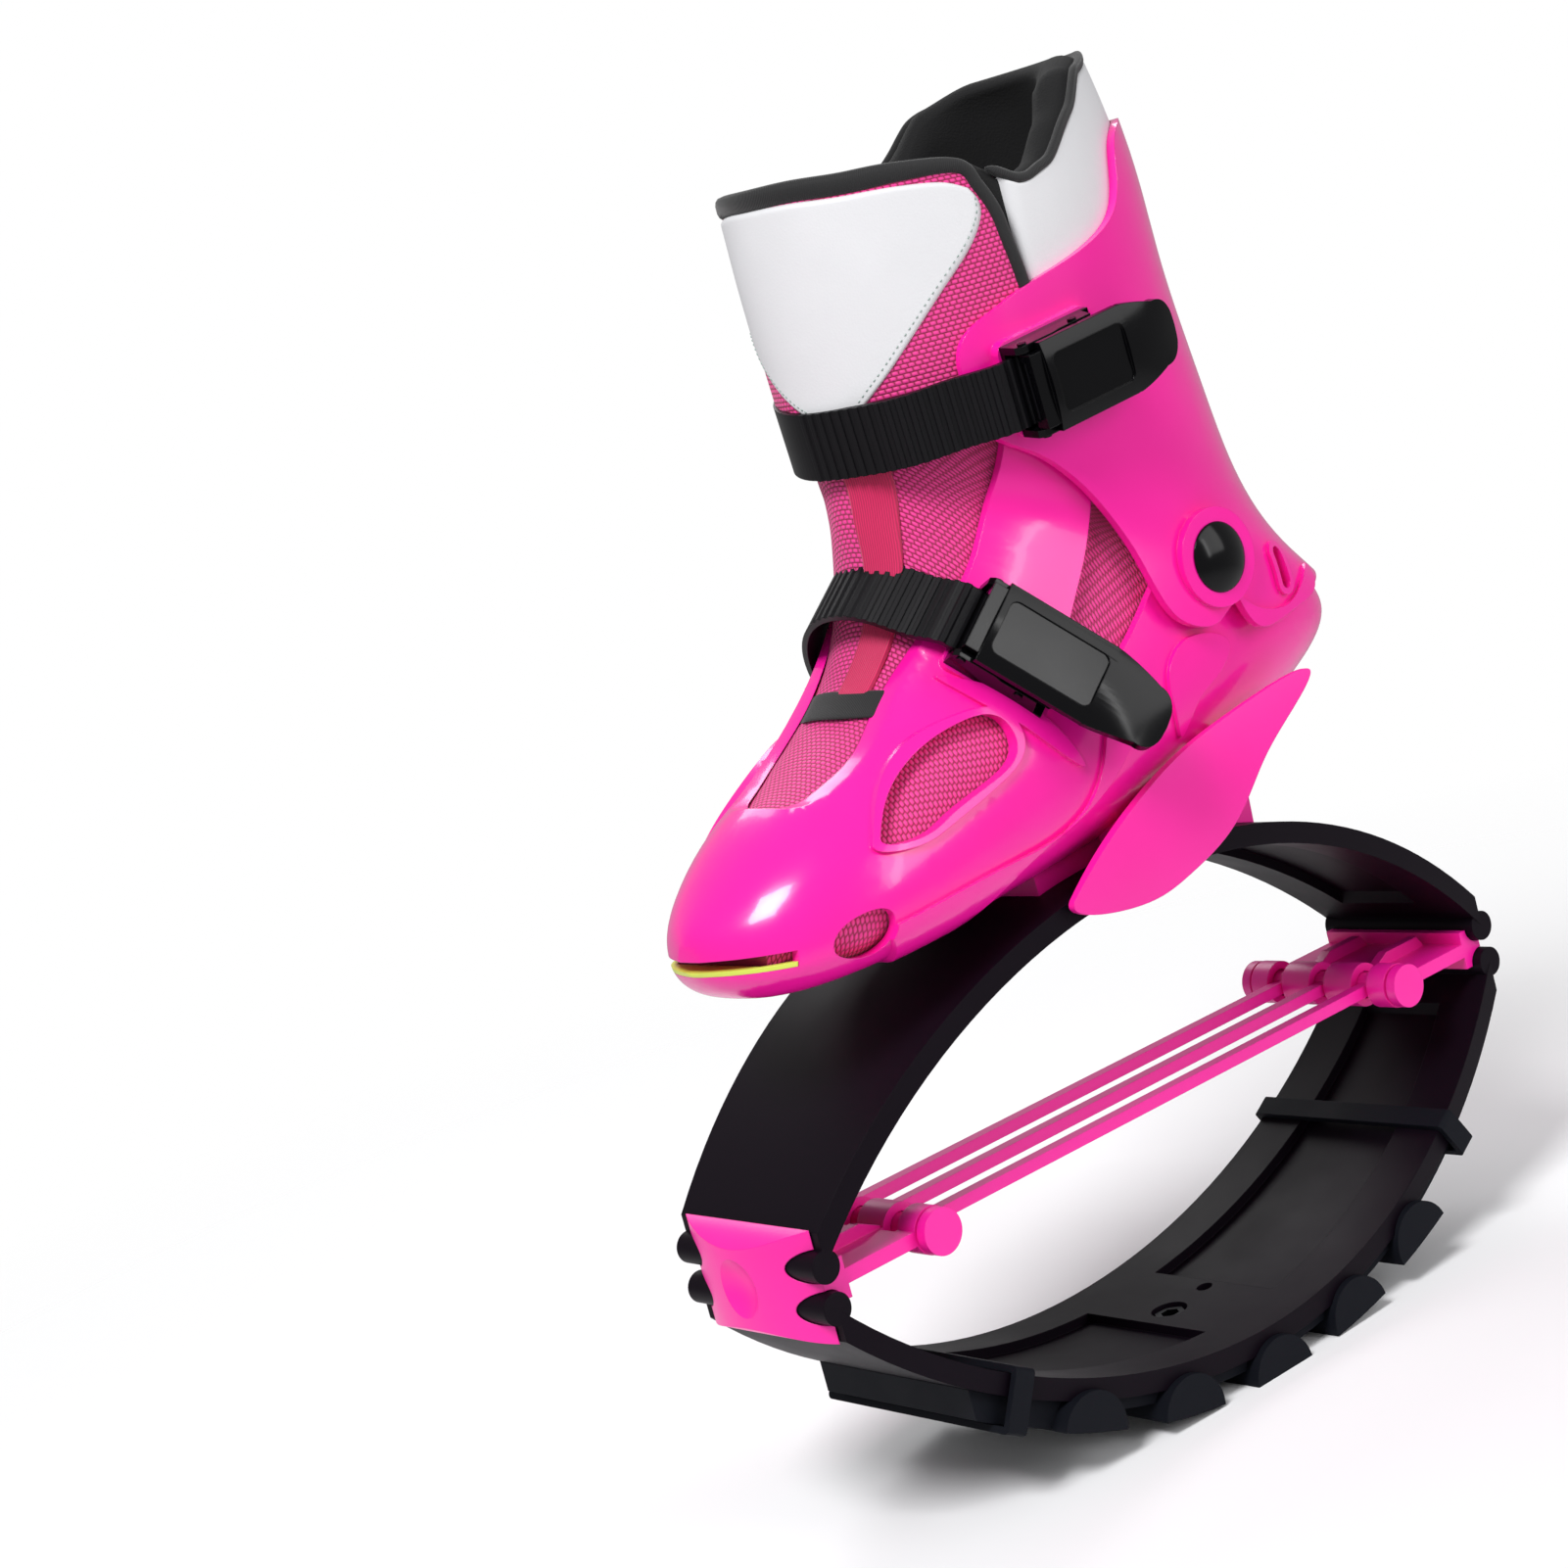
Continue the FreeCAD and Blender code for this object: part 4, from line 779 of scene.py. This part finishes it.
class BOOT_OT_ring(bpy.types.Operator):
    """Spring ring: two leaf-spring arcs, two end connectors and the tension spring"""
    bl_idname = "boot.ring"
    bl_label = "Spring ring"

    def execute(self, context):
        lower = smooth_copy("lower_arc", spring_black())
        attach(lower, "ring_base")
        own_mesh(lower)
        upper = smooth_copy("upper_arc", spring_black())
        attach(upper, "boot")
        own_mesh(upper)
        for piece in dress(["connector_front", "connector_rear", "tension_spring"], satin_pink()):
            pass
        return {"FINISHED"}


class BOOT_OT_outsole(bpy.types.Operator):
    """Rubber outsole with its loops, bolt and nut"""
    bl_idname = "boot.outsole"
    bl_label = "Outsole"

    def execute(self, context):
        for piece in dress(["outsole", "loop_front", "loop_rear"], sole_rubber()):
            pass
        for piece in dress(["outsole_bolt", "outsole_nut", "sole_bolts", "sole_nuts"], plated_steel()):
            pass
        return {"FINISHED"}


class BOOT_OT_shell(bpy.types.Operator):
    """Lower shell, cuff, wing guards, sole block and toe lip"""
    bl_idname = "boot.shell"
    bl_label = "Shell and cuff"

    def execute(self, context):
        for piece in dress(["lower_shell", "cuff"], glossy_shell(), crease=SHELL_CREASE):
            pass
        for piece in dress(["wing_outer", "wing_inner", "sole_block"], satin_pink()):
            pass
        for piece in dress(["toe_lip"], lip_yellow()):
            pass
        for piece in dress(["ankle_rivets"], buckle_black()):
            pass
        return {"FINISHED"}


# Offsets of the liner in mm, heights in mm and turns from the front in degrees where they change
FOOT_OFFSET = -3.8
TONGUE_RISE = 1.2
SIDE_SINK = 0.9
FRONT_SPREAD = (34, 62)
ANKLE_HEIGHTS = (268, 296)
COLLAR_HEIGHTS = (333, 347)


def liner_offset(turn, height):
    """How far the liner's outside stands from the skin, in mm."""
    front = 1 - eased(*FRONT_SPREAD, abs(turn - FRONT))
    above = eased(*ANKLE_HEIGHTS, height)
    low = FOOT_OFFSET + TONGUE_RISE * front * above - SIDE_SINK * (1 - front) * above
    high = bpy.context.scene.boot_sizes.collar_puff
    return low + (high - low) * eased(*COLLAR_HEIGHTS, height)


# Liner: offsets and heights in mm, starts and ends in sections, rows of the grid, waves as scale and size
LINING_OFFSET = -12.8
LINER_TURNS = 120
LINER_START = 2.2
LINING_START = 3.4
ANKLE_PLACE = 9.0
TOP_PLACE = 17.9
ROLL_HEIGHT = 5.5
FRONT_DROP = 4.0
LINER_CORE = -8.0
OUTER_ROWS = 140
ROLL_ROWS = 12
INNER_ROWS = 60
BLACK_EDGE_ROWS = 8
FRONT_DROP_SPREAD = (60, 80)
SOFT_WAVES = ((0.045, 0.7), (0.11, 0.25))
FOLD_DEPTH = 1.6
FOLD_COUNT = 3
FOLD_TURN = 40
FOLD_HEIGHTS = (380, 410)
FOLD_FADE = (0.85, 1.0)


class BOOT_OT_liner(bpy.types.Operator):
    """Padded liner: one closed form from the toe to the rolled collar rim"""
    bl_idname = "boot.liner"
    bl_label = "Liner"

    def execute(self, context):
        rows = OUTER_ROWS + ROLL_ROWS + INNER_ROWS
        tops = {}
        for step in range(LINER_TURNS + 1):
            turn = FULL_TURN * step / LINER_TURNS
            height = rim_height(turn) - FRONT_DROP * (1 - eased(*FRONT_DROP_SPREAD, abs(turn - FRONT)))
            edge = height - ROLL_HEIGHT
            top = halved(ANKLE_PLACE, TOP_PLACE, lambda tried: skin_point(tried, turn, 0.0).z < edge)
            tops[step] = (top, height)

        def place(across, up):
            step = round(across * LINER_TURNS)
            turn = FULL_TURN * step / LINER_TURNS
            row = round(up * rows)
            top, height = tops[step]
            middle_offset = (liner_offset(turn, height) + LINING_OFFSET) / 2
            if row <= OUTER_ROWS:
                spot = LINER_START + (top - LINER_START) * row / OUTER_ROWS
                rough = skin_point(spot, turn, 0.0)
                point = skin_point(spot, turn, liner_offset(turn, rough.z))
                soft = sum(noise.noise(rough * scale) * size for scale, size in SOFT_WAVES)
                point = point + (point - skin_point(spot, turn, LINER_CORE)).normalized() * soft
            elif row < OUTER_ROWS + ROLL_ROWS:
                angle = math.pi * (row - OUTER_ROWS) / ROLL_ROWS
                half = (liner_offset(turn, height) - LINING_OFFSET) / 2
                point = skin_point(top, turn, middle_offset + half * math.cos(angle))
                point = point + Vector((0, 0, ROLL_HEIGHT * math.sin(angle)))
            else:
                share = (row - OUTER_ROWS - ROLL_ROWS) / INNER_ROWS
                spot = top + (LINING_START - top) * share
                rough = skin_point(spot, turn, 0.0)
                fold = FOLD_DEPTH * math.sin(math.radians(turn * FOLD_COUNT + FOLD_TURN))
                fold *= eased(*FOLD_HEIGHTS, rough.z) * (1 - eased(*FOLD_FADE, share))
                point = skin_point(spot, turn, LINING_OFFSET + fold)
            return point

        bm = bmesh.new()
        for face, row in grid_mesh(bm, LINER_TURNS, rows, place).items():
            face.material_index = 1 if row >= OUTER_ROWS - BLACK_EDGE_ROWS else 0
        bmesh.ops.remove_doubles(bm, verts=bm.verts, dist=WELD)
        bmesh.ops.holes_fill(bm, edges=[edge for edge in bm.edges if edge.is_boundary], sides=0)
        bmesh.ops.recalc_face_normals(bm, faces=bm.faces)
        piece = finished("liner", bm, mesh_cloth())
        piece.data.materials.append(lining_knit())
        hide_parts("liner_foot", "liner_collar")
        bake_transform(piece)
        for piece in dress(["insole"], foam_black()):
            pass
        return {"FINISHED"}


def on_liner(lift):
    return lambda turn, height: liner_offset(turn, height) + lift


# Borders of the sewn panels: turn in degrees and height in mm
FLAP_TOP = [
    (96, 421), (118, 425), (140, 426.5), (160, 427), (180, 426.5), (199, 425.8), (216, 424), (232, 423),
    (243, 421), (250, 416.5),
]
FLAP_FOOT = [(96, 346), (180, 346), (262, 346)]
FLAP_REAR = [
    (262, 346), (260.5, 360), (259.5, 373), (259, 383), (258, 393), (257, 401), (254.5, 409), (250, 416.5),
]
FLAP_FRONT = [(96, 346), (95, 370), (95, 395), (96, 421)]
SHIELD_TOP = [
    (128, 412), (134, 417), (148, 420), (165, 421.5), (180, 421), (198, 420), (214, 418), (230, 416.5),
    (243, 414), (250, 410),
]
SHIELD_FOOT = [(190, 350), (197, 349), (204, 350.5)]
SHIELD_REAR = [
    (204, 350.5), (210, 355), (217, 361), (226, 370), (236, 380.5), (246, 391), (251, 399), (252, 405),
    (250, 410),
]
SHIELD_FRONT = [
    (190, 350), (183, 353), (174, 359.5), (162, 370), (149, 382), (137, 394), (130, 404), (128, 412),
]
REAR_FOOT = [(260, 356), (360, 356), (458, 356)]
BINDING_CORNER = [
    (248.4, 417.6), (252.6, 410), (255.6, 401), (256.8, 392), (257.8, 382), (258.4, 372), (259.4, 358),
    (260.4, 347),
]
RIBBON_TOP = [(186, 346), (205.5, 346)]
RIBBON_FOOT = [(181, 262), (196, 261)]
RIBBON_LEFT = [(181, 262), (182.5, 270), (185.5, 283), (188.5, 298), (188, 316), (187.5, 330), (186, 346)]
RIBBON_RIGHT = [(196, 261), (197.5, 270), (200, 283), (203, 298), (204, 314), (205.5, 330), (205.5, 346)]
BAND_TOP = [(140, 258.5), (160, 263), (180, 264.5), (208, 262), (230, 255)]
BAND_FOOT = [(138, 251.5), (160, 256), (181, 257.5), (211, 255), (232, 248)]
BAND_LEFT = [(138, 251.5), (139, 255), (140, 258.5)]
BAND_RIGHT = [(232, 248), (231, 251.5), (230, 255)]
BAND_OVER_RIBBON = 1.1
BAND_RISE = (158, 168)
BAND_FALL = (214, 222)
REAR_MIDDLE = 380
REAR_TURNS = range(260, 463, 6)
REAR_BELOW_RIM = 3.0
PIPING_TURNS = range(257, 465, 4)
PIPING_BELOW_RIM = 1.6
PIPING_HALF = 1.7
BINDING_RISE = 1.2
BINDING_NARROWS = 1.1
BINDING_CORNER_SHARES = (0.55, 0.7)

# Stitches: half sizes, height over the liner and distances from the shield's border, in mm and degrees
STITCH_FRONT_INSET = (1.5, 1.2)
STITCH_REAR_INSET = (-1.2, 1.8)
STITCH_TIP = (197, 352)
STITCH_RUN = 0.98
STITCH_SIZE = (0.62, 0.3, 0.22)
STITCH_LIFT = 4.05


def band_offset(turn, height):
    """Offset of the vamp band, which passes over the ribbon."""
    over = eased(*BAND_RISE, turn) * (1 - eased(*BAND_FALL, turn))
    return liner_offset(turn, height) + BAND_OVER_RIBBON * over


class BOOT_OT_collar(bpy.types.Operator):
    """Sewn collar: front flap with its shield, rear panel, bindings, ribbon and vamp band"""
    bl_idname = "boot.collar"
    bl_label = "Collar panels"

    def execute(self, context):
        sizes = context.scene.boot_sizes
        flap = panel("flap", FLAP_TOP, FLAP_FOOT, FLAP_FRONT, FLAP_REAR,
                     on_liner(0.4), 2.6, mesh_cloth(), columns=96, rows=56, edge=3.0, depth=2.0)
        shield = panel("shield", SHIELD_TOP, SHIELD_FOOT, SHIELD_FRONT, SHIELD_REAR,
                       on_liner(2.9), 1.1, white_leather(), columns=72, rows=64, edge=1.6, depth=0.6)
        rear_top = [(turn, rim_height(turn) - REAR_BELOW_RIM) for turn in REAR_TURNS]
        rear_left = [REAR_FOOT[0], (REAR_FOOT[0][0], REAR_MIDDLE), rear_top[0]]
        rear_right = [REAR_FOOT[-1], (REAR_FOOT[-1][0], REAR_MIDDLE), rear_top[-1]]
        rear = panel("rear_panel", rear_top, REAR_FOOT, rear_left, rear_right,
                     on_liner(0.3), 1.3, white_leather(), columns=120, rows=48, edge=1.6, depth=1.0)
        half = sizes.binding_height / 2
        top_line = [(turn, height - half + BINDING_RISE) for turn, height in FLAP_TOP[:-2]]
        binding = welt("flap_binding", top_line + BINDING_CORNER,
                       lambda share: half - BINDING_NARROWS * eased(*BINDING_CORNER_SHARES, share),
                       2.9, on_liner(1.3), tape_black(), steps=220)
        edge_line = [(turn, rim_height(turn) - PIPING_BELOW_RIM) for turn in PIPING_TURNS]
        piping = welt("rim_piping", edge_line, lambda share: PIPING_HALF, 1.5, on_liner(0.6), tape_black(),
                      steps=200)
        ribbon = panel("ribbon", RIBBON_TOP, RIBBON_FOOT, RIBBON_LEFT, RIBBON_RIGHT,
                       on_liner(0.1), 0.9, ribbon_pink(), columns=16, rows=72, edge=1.0, depth=0.6)
        band = panel("vamp_band", BAND_TOP, BAND_FOOT, BAND_LEFT, BAND_RIGHT,
                     band_offset, 0.6, tape_black(), columns=64, rows=12, edge=1.0, depth=0.4)
        stitches = self.stitches(sizes.stitch_pitch)
        for piece in (flap, shield, rear, binding, piping, stitches):
            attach(piece, "cuff_body")
        for piece in (ribbon, band):
            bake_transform(piece)
        return {"FINISHED"}

    def stitches(self, pitch):
        """Row of stitches inside the shield's lower borders."""
        bm = bmesh.new()
        path = [(turn + STITCH_FRONT_INSET[0], height + STITCH_FRONT_INSET[1])
                for turn, height in reversed(SHIELD_FRONT[:5])]
        path.append(STITCH_TIP)
        path += [(turn + STITCH_REAR_INSET[0], height + STITCH_REAR_INSET[1])
                 for turn, height in SHIELD_REAR[:-1]]
        length = sum(math.dist(a, b) for a, b in zip(path, path[1:])) * STITCH_RUN
        count = int(length / pitch)
        for step in range(count):
            turn, height = along_line(path, (step + 0.5) / count)
            ahead = along_line(path, (step + 0.6) / count)
            lift = on_liner(STITCH_LIFT)(turn, height)
            here = skin_at(turn, height, lift)
            beyond = skin_at(ahead[0], ahead[1], lift)
            turned = (beyond - here).to_track_quat("X", "Z").to_matrix().to_4x4()
            size = Matrix.Diagonal([side * MM for side in STITCH_SIZE] + [1.0])
            bmesh.ops.create_icosphere(bm, subdivisions=1, radius=1.0,
                                       matrix=Matrix.Translation(here * MM) @ turned @ size)
        for face in bm.faces:
            face.smooth = True
        return finished("shield_stitches", bm, thread_grey(), weld=0.0)


class BOOT_OT_straps(bpy.types.Operator):
    """Ladder straps, ratchet buckles, their levers, catches, pins and rivets"""
    bl_idname = "boot.straps"
    bl_label = "Straps and buckles"

    def execute(self, context):
        for piece in dress(["strap_lower", "strap_upper"], strap_black(), crease=STRAP_CREASE):
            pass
        names = ["lever_lower", "lever_upper", "pawl_lower", "pawl_upper", "buckle_base_lower",
                 "buckle_base_upper"]
        buckles = dress(names, buckle_black(), crease=BUCKLE_CREASE)
        blunt_tail(buckles[0], "lower", *LOWER_TAIL)
        blunt_tail(buckles[1], "upper", *UPPER_TAIL)
        small = ["buckle_pins_lower", "buckle_pins_upper", "rivets_boot", "rivets_cuff"]
        for piece in dress(small, plated_steel()):
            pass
        return {"FINISHED"}


class BOOT_OT_stage(bpy.types.Operator):
    """Pale floor, soft studio light and the camera"""
    bl_idname = "boot.stage"
    bl_label = "Stage"

    def execute(self, context):
        bm = bmesh.new()
        bmesh.ops.create_circle(bm, cap_ends=True, segments=96, radius=FLOOR_RADIUS)
        floor = finished("floor", bm, self.floor_finish())
        world = bpy.data.worlds.new("Studio")
        world.use_nodes = True
        ray = add_node(world.node_tree, "ShaderNodeLightPath").outputs["Is Camera Ray"]
        strength = add_node(world.node_tree, "ShaderNodeMapRange", {
            "Value": ray, "To Min": WORLD_LIGHT, "To Max": 1.0})
        background = world.node_tree.nodes["Background"]
        background.inputs["Color"].default_value = (1.0, 1.0, 1.0, 1.0)
        world.node_tree.links.new(strength.outputs["Result"], background.inputs["Strength"])
        context.scene.world = world
        context.scene.view_settings.view_transform = "Standard"
        for name, place, size, power in LIGHTS:
            self.light(name, place, size, power)
        lens = bpy.data.cameras.new("camera")
        lens.lens = LENS
        lens.sensor_width = SENSOR
        camera = bpy.data.objects.new("camera", lens)
        context.scene.collection.objects.link(camera)
        turn = Matrix((CAMERA_RIGHT, CAMERA_UP, CAMERA_BACK)).transposed().to_4x4()
        camera.matrix_world = Matrix.Translation(CAMERA_PLACE) @ turn
        context.scene.camera = camera
        return {"FINISHED"}

    def light(self, name, place, size, power):
        lamp = bpy.data.lights.new(name, "AREA")
        lamp.shape = "RECTANGLE"
        lamp.size, lamp.size_y = size
        lamp.energy = power
        piece = bpy.data.objects.new(name, lamp)
        piece.location = place
        aim = Vector(LIGHT_AIM) - Vector(place)
        piece.rotation_euler = aim.to_track_quat("-Z", "Y").to_euler()
        bpy.context.scene.collection.objects.link(piece)

    def floor_finish(self):
        # Matt painted board: pale, fading into the light far from the boot
        finish, tree, shader = new_finish("Matt painted board, white")
        coords = add_node(tree, "ShaderNodeTexCoord").outputs["Object"]
        reach = add_node(tree, "ShaderNodeVectorMath", {0: coords}, operation="LENGTH")
        fade = add_node(tree, "ShaderNodeMapRange", {
            "Value": reach.outputs["Value"], "From Min": FADE_START, "From Max": FADE_END})
        shader.inputs["Base Color"].default_value = linear("#F4F4F6")
        shader.inputs["Roughness"].default_value = 0.8
        clear = add_node(tree, "ShaderNodeBsdfTransparent")
        mixed = add_node(tree, "ShaderNodeMixShader", {
            0: fade.outputs["Result"], 1: shader.outputs[0], 2: clear.outputs[0]})
        tree.links.new(mixed.outputs[0], tree.nodes["Material Output"].inputs["Surface"])
        return finish


class BOOT_PT_panel(bpy.types.Panel):
    """Lists the boot's pieces and the values behind them"""
    bl_idname = "BOOT_PT_panel"
    bl_label = "Rebound boot"
    bl_space_type = "VIEW_3D"
    bl_region_type = "UI"
    bl_category = "Boot"

    def draw(self, context):
        layout = self.layout
        for group in (context.scene.boot_sizes, context.scene.boot_colours):
            for name in group.__annotations__:
                layout.prop(group, name)
        for piece in PIECES:
            layout.operator(piece.bl_idname)


PIECES = (
    BOOT_OT_ring, BOOT_OT_outsole, BOOT_OT_shell, BOOT_OT_liner, BOOT_OT_collar, BOOT_OT_straps,
    BOOT_OT_stage,
)
CLASSES = (BootSizes, BootColours) + PIECES + (BOOT_PT_panel,)


def register():
    for item in CLASSES:
        bpy.utils.register_class(item)
    bpy.types.Scene.boot_sizes = bpy.props.PointerProperty(type=BootSizes)
    bpy.types.Scene.boot_colours = bpy.props.PointerProperty(type=BootColours)


def unregister():
    del bpy.types.Scene.boot_sizes
    del bpy.types.Scene.boot_colours
    for item in reversed(CLASSES):
        bpy.utils.unregister_class(item)


def main():
    register()
    for piece in PIECES:
        group, name = piece.bl_idname.split(".")
        getattr(getattr(bpy.ops, group), name)()


if __name__ == "__main__":
    main()
